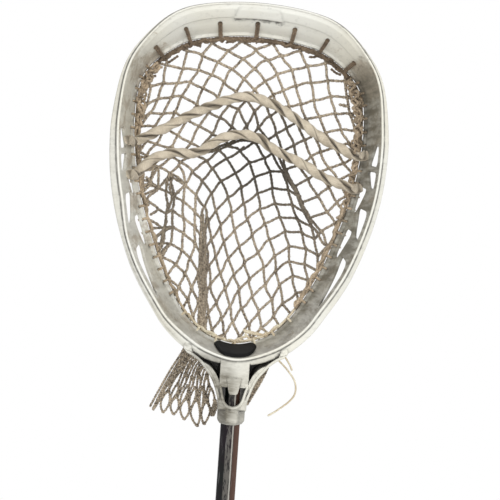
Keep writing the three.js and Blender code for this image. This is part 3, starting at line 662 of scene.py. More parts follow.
class Beads:
    """Routes of the beads along the throat's arms and round its window, in X and Z."""

    def __init__(self, ring, throat):
        rise, foot = ring.sizes.throat_rise, ring.sizes.collar_foot
        outer = [(x * throat.spread, foot + z * rise, 0) for x, z in ARM_OUTER]
        outer = Path(outer).spread(40)[4:, :2] - np.array([throat.bead * 0.42, 0])
        outer = outer[outer[:, 1] < foot + rise * 1.12]
        inner = [(x * throat.spread, foot + z * rise, 0) for x, z in ARM_INNER]
        inner = Path(inner).spread(48)[:, :2]
        low = inner[inner[:, 1] < foot + rise * 0.66]
        window = np.vstack([low[:0:-1] * (-1, 1), low]) - np.array([0, throat.bead * 0.3])
        self.routes = [outer, outer * (-1, 1), window]
        self.points = np.vstack(self.routes)

    def gap(self, x, z):
        """Distance from a point to the nearest bead."""
        return float(np.hypot(self.points[:, 0] - x, self.points[:, 1] - z).min())


def throat_mesh(ring, throat, shaft):
    """The throat: two arms, the plate with its tongue, and the collar."""
    rise, foot, half = ring.sizes.throat_rise, ring.sizes.collar_foot, throat.depth / 2

    def arm(table, count):
        flat = Path([(x * throat.spread, z * rise, 0) for x, z in table]).spread(count)
        return [(x, z) for x, z, _ in flat]

    def mirrored(points):
        return points + [(-x, z) for x, z in reversed(points)]

    outer, inner = arm(ARM_OUTER, 40), arm(ARM_INNER, 48)
    body = slab(mirrored(outer), -half, half, foot, throat.edge, 4)
    full, lip, ease = throat.fit + throat.collar_wall, 0.0006, 0.0004
    chamfer, height = throat.collar_chamfer, throat.collar_height
    levels = [
        (throat.fit + throat.collar_wall * 0.35, 0), (full - lip - ease, chamfer * 0.85),
        (full - lip, chamfer * 1.15), (full - lip, height - ease), (full - 0.0001, height + ease),
        (full, height + 0.001), (full, height * 2),
    ]
    collar = loft("collar", [octagon(shaft, extra, foot + z, 0.0012) for extra, z in levels])
    body = combined(body, collar, "UNION")
    top = rise * ARM_TOP
    for side in (-1, 1):
        edge = [(x, z) for x, z in inner if x > throat.plate_half and z < top]
        low = rise * PLATE_FOOT
        points = [(throat.plate_half, low)] + edge + [(edge[-1][0], top), (throat.plate_half, top)]
        outline = [(side * x, z) for x, z in points]
        hollow = slab(outline, -throat.depth, half - throat.rear_web, foot)
        body = combined(body, hollow, "DIFFERENCE")
    under = [(x, z) for x, z in inner if z < rise * PLATE_FOOT]
    under.append((under[-1][0], rise * PLATE_FOOT))
    window_back = -shaft.depth / 2 + throat.collar_wall
    window = slab(mirrored(under), -throat.depth, window_back, foot)
    body = combined(body, window, "DIFFERENCE")
    tongue = mirrored([(x, share * rise) for x, share in TONGUE])
    tongue = slab(tongue, -half - 0.001, -shaft.depth / 2 - 0.00135, foot, 0.0007)
    body = combined(body, tongue, "UNION")
    for route in Beads(ring, throat).routes:
        bead = bead_mesh(route, -half + throat.bead * 0.05, throat.bead / 2)
        body = combined(body, bead, "UNION")
    return combined(body, mouth_mesh(ring), "DIFFERENCE")


def bead_mesh(route, depth, radius, sides=10):
    """A round bead along an X-Z route at one depth."""
    path = Path([(x, depth, z) for x, z in route])
    rings = []
    for share in np.linspace(0, 1, 48):
        way = path.tangent(share)
        over = np.array([0, 1, 0])
        side = np.cross(way, over)
        reach = radius * (0.35 + 0.65 * smooth(0, 0.06, share) * smooth(1, 0.95, share))
        at = path.at(share)
        rings.append(
            [at + reach * (math.cos(a) * side + math.sin(a) * over) for a in circle(sides)]
        )
    return loft("bead", rings)


def scoop_pad_mesh(ring):
    """The raised bare pad in the middle of the scoop's inner face."""

    def spot(u, v, layer):
        width = BARE_HALF * (0.9 + 0.1 * v)
        place = 0.5 - u * width / ring.crest.length
        share = BARE_LOW + (BARE_HIGH - BARE_LOW) * (v + 1) / 2
        edge = (1 - abs(u) ** 14) * (1 - abs(v) ** 10)
        lift = ring.sizes.step + BARE_RISE * edge ** 0.5 if layer else -BARE_ROOT
        return ring.on_wall(place, share, lift)

    return grid_solid("scoop_pad", 28, 8, spot)


def head_mesh(ring, throat, shaft):
    """The head moulding as one closed mesh with its windows, holes and socket."""
    body = combined(ring_mesh(ring), throat_mesh(ring, throat, shaft), "UNION")
    body = combined(body, scoop_pad_mesh(ring), "UNION")
    cutters = []
    for flip in (False, True):
        for shares in WINDOWS:
            cutters.append(wall_cutter(ring, window_outline(ring, shares), flip, 0.0009))
        for place in rail_places():
            outline = hole_outline(ring, place, RAIL_HOLE_ACROSS, RAIL_HOLE_RADIUS, 10)
            cutters.append(wall_cutter(ring, outline, flip))
    for place in scoop_places():
        outline = hole_outline(ring, place, SCOOP_HOLE_ACROSS, SCOOP_HOLE_RADIUS)
        cutters.append(wall_cutter(ring, outline, False, 0.0005))
    body = combined(body, joined("cutters", cutters), "DIFFERENCE")
    ends = (ring.sizes.collar_foot - 0.005, shaft.length + throat.fit)
    bore = loft("bore", [octagon(shaft, throat.fit, z) for z in ends])
    return combined(body, bore, "DIFFERENCE")


class Value:
    """A node's output, with which sums and nodes that read it are written shortly."""

    def __init__(self, socket):
        self.socket, self.tree = socket, socket.id_data

    def to(self, socket):
        """Links this value to an input."""
        self.tree.links.new(self.socket, socket)

    def maths(self, operation, *values, clamp=False):
        """A maths node's result, with this value first."""
        inputs = dict(enumerate((self, *values)))
        return result(self.tree, "ShaderNodeMath", inputs, operation=operation, use_clamp=clamp)

    def __add__(self, other):
        return self.maths("ADD", other)

    def __mul__(self, other):
        return self.maths("MULTIPLY", other)

    def __sub__(self, other):
        return self.maths("SUBTRACT", other)

    def __truediv__(self, other):
        return self.maths("DIVIDE", other)

    def rest(self):
        """What is missing to one."""
        return result(self.tree, "ShaderNodeMath", {0: 1.0, 1: self}, operation="SUBTRACT")

    def largest(self, other):
        """The larger of two values."""
        return self.maths("MAXIMUM", other)

    def blend(self, first, second):
        """Two colours blended by this share."""
        inputs = {0: self, 6: first, 7: second}
        return Value(put(self.tree, "ShaderNodeMix", inputs, data_type="RGBA").outputs[2])

    def mask(self, low, high, least=0.0, most=1.0):
        """This value eased from low to high, as a mask."""
        inputs = {"Value": self, "From Min": low, "From Max": high, "To Min": least, "To Max": most}
        return result(self.tree, "ShaderNodeMapRange", inputs, interpolation_type="SMOOTHSTEP")

    def noise(self, scale, detail=3.0, rough=0.5, distortion=0.0):
        """Noise over these coordinates."""
        inputs = {
            "Vector": self, "Scale": scale, "Detail": detail, "Roughness": rough,
            "Distortion": distortion,
        }
        return result(self.tree, "ShaderNodeTexNoise", inputs)

    def mapped(self, **inputs):
        """These coordinates turned or scaled."""
        return result(self.tree, "ShaderNodeMapping", {"Vector": self, **inputs})

    def bump(self, strength, distance):
        """The normal of this height."""
        inputs = {"Height": self, "Strength": strength, "Distance": distance}
        return result(self.tree, "ShaderNodeBump", inputs)


def put(tree, kind, inputs=None, **settings):
    """Adds a node to a tree, with its settings, and its inputs set or linked."""
    node = tree.nodes.new(kind)
    for name, value in settings.items():
        setattr(node, name, value)
    for name, value in (inputs or {}).items():
        if isinstance(value, Value):
            value.to(node.inputs[name])
        else:
            node.inputs[name].default_value = value
    return node


def result(tree, kind, inputs=None, **settings):
    """The first output of a new node."""
    return Value(put(tree, kind, inputs, **settings).outputs[0])


def named(sockets):
    """Sockets as values, by their names."""
    return {socket.name: Value(socket) for socket in sockets if socket.name}


def new_group(name, kind, inputs, outputs):
    """A new node group: its tree, what it is given and its outputs.

    An input is named with its default, or else with the kind of its socket, as an output is.
    """
    tree = bpy.data.node_groups.new(name, kind)
    for label, value in inputs.items():
        socket_kind = {float: "Float", int: "Int"}.get(type(value), value)
        socket = tree.interface.new_socket(
            label, in_out="INPUT", socket_type=f"NodeSocket{socket_kind}"
        )
        if socket_kind != value:
            socket.default_value = value
    for label, value in outputs.items():
        tree.interface.new_socket(label, in_out="OUTPUT", socket_type=f"NodeSocket{value}")
    given = named(tree.nodes.new("NodeGroupInput").outputs)
    return tree, given, tree.nodes.new("NodeGroupOutput").inputs


def once(name):
    """Has a node group built on its first use only, under one name."""
    return lambda build: lambda: bpy.data.node_groups.get(name) or build(name)


def rgba(value, level=1.0):
    """A colour at a level, with full alpha."""
    return (*(c * level for c in value[:3]), 1.0)


@once("Stick grime")
def grime_group(name):
    """Blotches of dirt: a soft large pattern broken up by a fine one."""
    tree, given, out = new_group(
        name, "ShaderNodeTree", {"Vector": "Vector", "Scale": 30.0, "Cover": 0.5, "Grain": 260.0},
        {"Mask": "Float"},
    )
    broad = given["Vector"].noise(given["Scale"], 4.0, 0.6, 0.3)
    fine = given["Vector"].noise(given["Grain"], 3.0, 0.6)
    edge = result(tree, "ShaderNodeMath", {0: 0.72, 1: given["Cover"] * 0.42}, operation="SUBTRACT")
    (broad * 0.72 + fine * 0.28 - edge).mask(-0.05, 0.09).to(out["Mask"])
    return tree


@once("Stick fibres")
def fibre_group(name):
    """Speckled fibres of a used cord: a tone from dark to light, and a height."""
    tree, given, out = new_group(
        name, "ShaderNodeTree",
        {"Vector": "Vector", "Speckle": 700.0, "Patches": 45.0, "Contrast": 0.6},
        {"Tone": "Float", "Height": "Float"},
    )
    sharp = given["Vector"].noise(given["Speckle"], 2.0, 0.6).mask(0.36, 0.64)
    patch = given["Vector"].noise(given["Patches"], 3.0, 0.5).mask(0.3, 0.7)
    (sharp * given["Contrast"] + patch * given["Contrast"].rest()).to(out["Tone"])
    given["Vector"].noise(1400.0, 2.0, 0.6).to(out["Height"])
    return tree


@once("Stick braid")
def weave_group(name):
    """A flat braid on a UV map: two families of yarns that cross in steps."""
    tree, given, out = new_group(
        name, "ShaderNodeTree", {"UV": "Vector", "Across": 10.0, "Along": 420.0},
        {"Height": "Float", "Gaps": "Float"},
    )
    parts = named(put(tree, "ShaderNodeSeparateXYZ", {0: given["UV"]}).outputs)
    across, along = parts["X"] * given["Across"], parts["Y"] * given["Along"]
    up, down = (along + across) * math.pi, (along - across) * math.pi
    height = up.maths("SINE").maths("ABSOLUTE") * down.maths("SINE").maths("ABSOLUTE")
    height.to(out["Height"])
    height.mask(0.0, 0.32, 1.0, 0.0).to(out["Gaps"])
    return tree


def use(tree, group, inputs):
    """Places a node group in a tree, with its inputs."""
    kind = tree.bl_idname.replace("Tree", "Group")
    return named(put(tree, kind, inputs, node_tree=group).outputs)


def surface(name, inputs=None):
    """A new material with its node tree and its Principled shader's inputs, some of them set."""
    material = bpy.data.materials.new(name)
    material.use_nodes = True
    tree = material.node_tree
    shader = tree.nodes["Principled BSDF"]
    for label, value in (inputs or {}).items():
        shader.inputs[label].default_value = value
    return material, tree, shader.inputs


def coordinates(tree, kind="Object"):
    """Object coordinates, or the piece's own UV map."""
    return Value(tree.nodes.new("ShaderNodeTexCoord").outputs[kind])


def attribute(tree, name):
    """A named attribute's value."""
    return Value(put(tree, "ShaderNodeAttribute", None, attribute_name=name).outputs["Fac"])


def head_material(colours):
    """Moulded plastic with soil rubbed in, scuffs and scratches, and painted shade: grey over shaded
    faces, dark in the grooves and in the hollows.
    """
    material, tree, out = surface("Moulded plastic", {"IOR": 1.46, "Specular IOR Level": 0.42})
    place = coordinates(tree)
    stain, soot_and_shade, groove, shade, hollow = (
        attribute(tree, name) for name in ("stain", "soot_and_shade", "groove", "shade", "hollow")
    )
    dirt = use(
        tree, grime_group(), {"Vector": place, "Scale": 34.0, "Cover": stain, "Grain": 300.0}
    )["Mask"]
    worn = use(
        tree, grime_group(), {"Vector": place, "Scale": 55.0, "Cover": soot_and_shade, "Grain": 420.0}
    )["Mask"]
    streaky = place.mapped(Scale=(90.0, 60.0, 260.0)).mapped(Rotation=(0.2, 0.5, 0.3))
    scratch = streaky.noise(1.0, 4.0, 0.65).mask(0.56, 0.7)
    tint = place.noise(9.0, 2.0).mask(0.35, 0.65)
    yellowed = [c * m for c, m in zip(colours.plastic, (0.95, 0.93, 0.88))]
    tone = tint.blend(rgba(colours.plastic), rgba(yellowed))
    tone = (dirt * 0.62).blend(tone, rgba(colours.stain))
    scuffs = (scratch * (soot_and_shade * 0.5 + 0.1)).largest(worn * 0.6)
    tone = scuffs.blend(tone, rgba(colours.soot_and_shade))
    # Painted shade with some dirt in it: grey where the shade attribute is high, broken up by streaks
    streaks = streaky.noise(0.6, 3.0, 0.6).mask(0.3, 0.7, 0.65, 1.1)
    tone = shade.maths("MULTIPLY", streaks, clamp=True).blend(tone, rgba(colours.grey))
    # Painted shade along the grooves
    groove_shade = groove * place.noise(120.0).mask(0.2, 0.6, 0.45, 0.95)
    tone = groove_shade.blend(tone, rgba(colours.soot_and_shade, 0.5))
    # Painted shade in the hollows that the mesh shuts in, broken up by patches
    patchy = place.noise(170.0, 4.0, 0.6).mask(0.3, 0.7, -0.12, 0.12)
    hollow_shade = (hollow + patchy).mask(0.05, 0.42, 0.0, 0.9)
    hollow_shade.blend(tone, rgba(colours.soot_and_shade, 0.45)).to(out["Base Color"])
    (dirt * 0.22 + 0.36 + scuffs * 0.25).to(out["Roughness"])
    relief = place.noise(650.0, 3.0) + scratch * -0.7
    relief.bump(0.22, 0.0002).to(out["Normal"])
    return material


def cord_material(name, light, dark, speckle=480.0, contrast=0.7, patches=45.0):
    """A used fibre cord: speckled yarns, darker where its points are marked dark."""
    material, tree, out = surface(
        name, {"Sheen Weight": 0.15, "Sheen Roughness": 0.6, "Specular IOR Level": 0.2}
    )
    place = coordinates(tree)
    fibres = use(
        tree, fibre_group(),
        {"Vector": place, "Speckle": speckle, "Patches": patches, "Contrast": contrast},
    )
    yarn = fibres["Tone"].blend(rgba(dark), rgba(light))
    # Darker where the points are marked, at the spots set on the mesh
    worn = attribute(tree, "worn") * 0.92
    worn.blend(yarn, rgba(light, 0.1)).to(out["Base Color"])
    fibres["Tone"].mask(0.0, 1.0, 0.95, 0.75).to(out["Roughness"])
    fibres["Height"].bump(0.5, 0.0003).to(out["Normal"])
    return material


def lace_material(colours):
    """Flat woven lace: braided yarns, soiled in patches, with painted shade in the braid's gaps and where
    the laces touch.
    """
    material, tree, out = surface(
        "Woven lace", {"Sheen Weight": 0.2, "Sheen Roughness": 0.6, "Specular IOR Level": 0.2}
    )
    place, uv = coordinates(tree), coordinates(tree, "UV")
    braid = use(tree, weave_group(), {"UV": uv, "Across": 14.0, "Along": 520.0})
    dirt = use(
        tree, grime_group(), {"Vector": place, "Scale": 70.0, "Cover": 0.5, "Grain": 700.0}
    )["Mask"]
    dark = [c * m for c, m in zip(colours.lace, (0.52, 0.47, 0.42))]
    tone = (dirt * 0.38).blend(rgba(colours.lace), rgba(dark))
    # Painted shade in the braid's gaps and where one lace turns under the other
    gaps = (braid["Gaps"] * 0.32).largest(attribute(tree, "crease_shade") * 0.75)
    gaps.blend(tone, rgba(dark, 0.4)).to(out["Base Color"])
    dirt.mask(0.0, 1.0, 0.78, 0.92).to(out["Roughness"])
    braid["Height"].bump(0.7, 0.0004).to(out["Normal"])
    return material


def shaft_material(colours):
    """Dark anodised tube: print worn to flakes on the front flat, thin side lines, scratches, and painted
    brown light on its right side.
    """
    material, tree, out = surface("Anodised alloy", {"Metallic": 0.12, "Specular IOR Level": 0.12})
    place = coordinates(tree)
    front, side, line = (attribute(tree, name) for name in ("front", "side", "line"))
    stretched = place.mapped(Scale=(1.0, 1.0, 0.25))
    flakes = stretched.noise(420.0, 5.0, 0.7) + stretched.noise(70.0, 3.0, 0.6) * 0.5
    kept = flakes.mask(0.66, 0.82) * front
    tint = place.noise(22.0, 3.0).mask(0.35, 0.65)
    tone = tint.blend(rgba(colours.alloy), (0.005, 0.008, 0.007, 1))
    # Painted light: the right side lit brown
    tone = side.blend(tone, rgba(colours.alloy_lit_side))
    tone = (kept * 0.85).blend(tone, rgba(colours.print_worn))
    tone = line.mask(0.8, 0.95, 0.0, 0.7).blend(tone, (0.5, 0.48, 0.43, 1))
    scratch = place.mapped(Scale=(900.0, 900.0, 40.0)).noise(1.0, 2.0).mask(0.62, 0.72)
    (scratch * 0.3).blend(tone, (0.4, 0.4, 0.4, 1)).to(out["Base Color"])
    (kept * 0.35 + 0.34).to(out["Roughness"])
    (kept + scratch * -0.5).bump(0.35, 0.0001).to(out["Normal"])
    return material


def plain_material(name, tone, inputs, speckle, depth):
    """A plain finish with fine grain and faint wear, for rubber, foam and steel."""
    material, tree, out = surface(name, inputs)
    place = coordinates(tree)
    dust = use(
        tree, grime_group(), {"Vector": place, "Scale": 90.0, "Cover": 0.35, "Grain": speckle}
    )["Mask"]
    worn = [min(c * 2.2 + 0.02, 1) for c in tone]
    (dust * 0.5).blend(rgba(tone), rgba(worn)).to(out["Base Color"])
    rough = inputs.get("Roughness", 0.5)
    dust.mask(0.0, 1.0, rough, min(rough + 0.2, 1)).to(out["Roughness"])
    place.noise(speckle, 3.0).bump(0.4, depth).to(out["Normal"])
    return material


def geometry_tree(name, inputs):
    """A new Geometry Nodes tree: the tree, what it is given and its outputs."""
    geometry = {"Geometry": "Geometry"}
    return new_group(name, "GeometryNodeTree", {**geometry, **inputs}, geometry)


def vector_math(tree, operation, *values):
    """A vector maths node's vector result."""
    return result(tree, "ShaderNodeVectorMath", dict(enumerate(values)), operation=operation)


def round_curve(tree, sides, radius):
    """A circle's curve, for a section or a loop."""
    inputs = {"Resolution": sides, "Radius": radius}
    return result(tree, "GeometryNodeCurvePrimitiveCircle", inputs)


def stored(tree, name, kind):
    """A named attribute of the input's points."""
    return result(tree, "GeometryNodeInputNamedAttribute", {"Name": name}, data_type=kind)


def with_material(tree, geometry, material):
    """Geometry that carries a material."""
    return result(tree, "GeometryNodeSetMaterial", {"Geometry": geometry, "Material": material})


@once("Stick plied cord")
def plied_cord_tree(name):
    """Every line of the input becomes a cord of plies laid round each other."""
    tree, given, out = geometry_tree(
        name,
        {"Diameter": 0.0022, "Plies": 2, "Pitch": 0.007, "Step": 0.002, "Ply Share": 0.58,
         "Sides": 6, "Material": "Material"},
    )
    curve = result(tree, "GeometryNodeMeshToCurve", {0: given["Geometry"]})
    curve = result(
        tree, "GeometryNodeResampleCurve", {"Curve": curve, "Length": given["Step"]}, mode="LENGTH"
    )
    copies = named(put(
        tree, "GeometryNodeDuplicateElements", {"Geometry": curve, "Amount": given["Plies"]},
        domain="SPLINE",
    ).outputs)
    run = named(tree.nodes.new("GeometryNodeSplineParameter").outputs)["Length"]
    turns = run / given["Pitch"] + copies["Duplicate Index"] / given["Plies"]
    angle = turns * (2 * math.pi)
    normal = result(tree, "GeometryNodeInputNormal")
    side = vector_math(tree, "CROSS_PRODUCT", result(tree, "GeometryNodeInputTangent"), normal)
    radius = given["Diameter"] * given["Ply Share"].rest() * 0.5
    legs = []
    for way, operation in ((normal, "COSINE"), (side, "SINE")):
        inputs = {0: way, "Scale": angle.maths(operation) * radius}
        legs.append(result(tree, "ShaderNodeVectorMath", inputs, operation="SCALE"))
    inputs = {"Geometry": copies["Geometry"], "Offset": vector_math(tree, "ADD", *legs)}
    moved = result(tree, "GeometryNodeSetPosition", inputs)
    profile = round_curve(tree, given["Sides"], given["Diameter"] * given["Ply Share"] * 0.5)
    inputs = {"Curve": moved, "Profile Curve": profile, "Fill Caps": True}
    swept = result(tree, "GeometryNodeCurveToMesh", inputs)
    shown = with_material(tree, swept, given["Material"])
    result(tree, "GeometryNodeRealizeInstances", {0: shown}).to(out["Geometry"])
    return tree


@once("Stick knotted mesh")
def knotted_mesh_tree(name):
    """Plied cords along the input's edges, with a wrapped knot at each marked point."""
    tree, given, out = geometry_tree(
        name,
        {"Diameter": 0.0022, "Pitch": 0.006, "Step": 0.002, "Knot": 0.0042, "Seed": 4,
         "Material": "Material"},
    )
    passed = {label: given[label] for label in ("Geometry", "Diameter", "Pitch", "Step", "Material")}
    cord = use(tree, plied_cord_tree(), {**passed, "Sides": 5})["Geometry"]
    at_knot = result(
        tree, "FunctionNodeCompare", {0: stored(tree, "knot", "FLOAT"), 1: 0.5},
        data_type="FLOAT", operation="GREATER_THAN",
    )
    inputs = {"Mesh": given["Geometry"], "Selection": at_knot}
    points = result(tree, "GeometryNodeMeshToPoints", inputs)
    inputs = {"Vector": stored(tree, "down", "FLOAT_VECTOR")}
    turned = result(tree, "FunctionNodeAlignRotationToVector", inputs, axis="Z")
    inputs = {2: 0.85, 3: 1.15, "Seed": given["Seed"]}
    lump = Value(put(tree, "FunctionNodeRandomValue", inputs, data_type="FLOAT").outputs[1])
    thick = given["Diameter"] * 0.42
    loop, profile = round_curve(tree, 9, given["Knot"] * 0.5 - thick), round_curve(tree, 5, thick)
    wrap = result(tree, "GeometryNodeCurveToMesh", {"Curve": loop, "Profile Curve": profile})
    inputs = {"Points": points, "Instance": wrap, "Rotation": turned, "Scale": lump}
    knots = result(tree, "GeometryNodeInstanceOnPoints", inputs)
    knots = result(tree, "GeometryNodeRealizeInstances", {0: knots})
    both = tree.nodes.new("GeometryNodeJoinGeometry")
    with_material(tree, knots, given["Material"]).to(both.inputs[0])
    cord.to(both.inputs[0])
    Value(both.outputs[0]).to(out["Geometry"])
    return tree


def grown(name, lines, tree, values, slot_name, knots=None):
    """Runs a Geometry Nodes tree over lines of points and keeps the plain result as a piece."""
    points = [p for line in lines for p in line]
    edges, start = [], 0
    for line in lines:
        edges += [(start + k, start + k + 1) for k in range(len(line) - 1)]
        start += len(line)
    base = bpy.data.meshes.new(name)
    if knots is not None:
        start = len(points)
        points += [at for at, _ in knots]
    base.from_pydata(vectors(points), edges, [])
    if knots is not None:
        marks = base.attributes.new("knot", "FLOAT", "POINT")
        down = base.attributes.new("down", "FLOAT_VECTOR", "POINT")
        for k, (_, way) in enumerate(knots):
            marks.data[start + k].value = 1.0
            down.data[start + k].vector = tuple(way)
    piece = bpy.data.objects.new(name, base)
    bpy.context.scene.collection.objects.link(piece)
    modifier = piece.modifiers.new("grow", "NODES")
    modifier.node_group = tree
    for item in tree.interface.items_tree:
        if item.in_out == "INPUT" and item.name in values:
            modifier[item.identifier] = values[item.name]
    graph = bpy.context.evaluated_depsgraph_get()
    made = bpy.data.meshes.new_from_object(piece.evaluated_get(graph), depsgraph=graph)
    piece.modifiers.clear()
    piece.data = made
    if not made.polygons:
        raise RuntimeError(f"{name} came out empty")
    made.shade_smooth()
    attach(piece, BODY)
    return piece


def frames_along(path, count):
    """Points along a path, each with two directions across it that turn no more than they must."""
    rows, side = [], None
    for share in np.linspace(0, 1, count):
        way = path.tangent(share)
        if side is None:
            side = np.cross(way, (0, 1, 0))
        side = side - way * np.dot(side, way)
        side /= np.linalg.norm(side)
        rows.append((path.at(share), way, side, np.cross(way, side)))
    return rows


def tube(name, path, radius_at, count, sides=12):
    """A closed round tube along a path, its radius read at each share of the length."""
    rings = []
    for (at, _, side, over), share in zip(frames_along(path, count), np.linspace(0, 1, count)):
        rings.append([
            at + radius_at(share, a) * (math.cos(a) * side + math.sin(a) * over) for a in circle(sides)
        ])
    return loft(name, rings)


def loose_path(ring, cords, place, free):
    """Route of a loose end: round from the back of the bottom string over the rail, then free."""
    radius, lean, shares = LOOSE_BEND
    row = ring.read(place)
    reach = cords.rail_cord / 2 + cords.seat
    points = []
    for share in shares:
        angle = share * lean
        n = reach * math.cos(lean) + radius * (math.sin(lean) - math.sin(angle))
        y = reach * math.sin(lean) + radius * (math.cos(angle) - math.cos(lean))
        at = ring.rail(place, cords.seat + cords.rail_cord / 2, y)
        points.append(at + n * np.array([row[2], 0, row[3]]))
    foot = ring.sizes.collar_foot
    return Path(points + [(x, y, foot + z) for x, y, z in free])


def tangled(ring, cords, first, last, count, spread, seed):
    """Strands that wander round the string along the rail, from one place to another."""
    rng = np.random.default_rng(seed)
    steps = max(int(abs(last - first) * ring.crest.length / 0.0052), 4)
    lines = []
    for _ in range(count):
        points = []
        for place in np.linspace(first, last, steps):
            reach = spread * rng.random() ** 0.6
            angle = 2 * math.pi * rng.random()
            clear = cords.rail_cord / 2 + 0.9 * spread + reach * math.cos(angle)
            points.append(ring.rail(place, clear, -0.9 * spread + 1.3 * reach * math.sin(angle)))
        curve = Path(points)
        lines.append(curve.spread(int(curve.length / 0.0016)))
    return lines


def shooting_path(ring, net, cords, route, rest):
    """Route of a pair of shooting laces in front of the mesh, its ends laid up the walls."""
    lift = cords.lace_width * LACE_HALF + cords.mesh_cord * rest
    points = [net.at(x, y, lift) for x, y in route]
    ends = []
    for at, high in zip((points[0], points[-1]), LACE_TOPS):
        gaps = np.hypot(ring.rows[:, 0] - at[0], ring.rows[:, 1] - at[2])
        place = int(gaps.argmin()) / ring.SAMPLES
        shares = (high, LACE_FOOT)
        ends.append([ring.on_wall(place, share, cords.lace_width * 0.5) for share in shares])
    return Path([ends[0][0], ends[0][1]] + points + [ends[1][1], ends[1][0]])


def lace_mesh(name, path, cords, side):
    """One lace of a twisted pair, puffed by the twist, with a UV map that runs along it."""
    turns = round(path.length / cords.lace_turn)
    count, sides = turns * 26, 16
    half, thick = cords.lace_width * LACE_HALF, cords.lace_thickness * LACE_THICK
    rings, crease_shades = [], []
    for k, (at, way, across, over) in enumerate(frames_along(path, count + 1)):
        share = k / count
        turn = 2 * math.pi * turns * share + 0.35 * math.sin(5.1 * math.pi * share + side)
        wide = math.cos(turn) * across + math.sin(turn) * over
        flat = np.cross(way, wide)
        width = half * (0.93 + 0.07 * math.sin(9.7 * math.pi * share + 2 * side))
        centre = at + flat * side * (thick + cords.seat / 4)
        section = []
        for angle in circle(sides, 0.5):
            c, s = math.cos(angle), math.sin(angle)
            x = math.copysign(abs(c) ** LACE_SQUARE, c) * width
            y = math.copysign(abs(s) ** LACE_SQUARE, s) * thick
            section.append(centre + wide * x + flat * y)
            # Painted shade on the side that turns under the other lace
            crease_shades.append(smooth(0.1, -0.45, side * s))
        rings.append(section)
    mesh = loft(name, rings)
    uv = mesh.uv_layers.new(name="UVMap")
    for face in mesh.polygons:
        for loop, vertex in zip(face.loop_indices, face.vertices):
            k, i = divmod(vertex, sides)
            u = i / sides
            if u == 0 and any(v % sides == sides - 1 for v in face.vertices):
                u = 1.0
            uv.data[loop].uv = (u, path.length * k / count)
    paint(mesh, "crease_shade", crease_shades)
    return mesh


# The photograph's camera: place, turn and roll, and its frame in pixels
EYE = (-0.05234, -0.99863, 1.1517)
TURN, ROLL = math.radians(3), math.radians(3.93)
LENS, SENSOR, SHIFT, FRAME_PX = 61.1, 36.0, 0.0158, 500

# Lamps: name, place, power and size, and the point that they face
LAMPS = (
    ("key", (1.3, -1.9, 2.3), 34, 1.3), ("fill", (-1.9, -1.5, 1.5), 16, 1.8),
    ("rim", (-0.6, 1.7, 2.2), 14, 1.5), ("low", (-0.2, -1.7, 0.35), 11, 1.4),
)
LAMP_AIM = (0, 0, 1.2)

# Light from the surroundings on the stick, where the camera sees them as 1
WORLD_LEVEL = 0.52

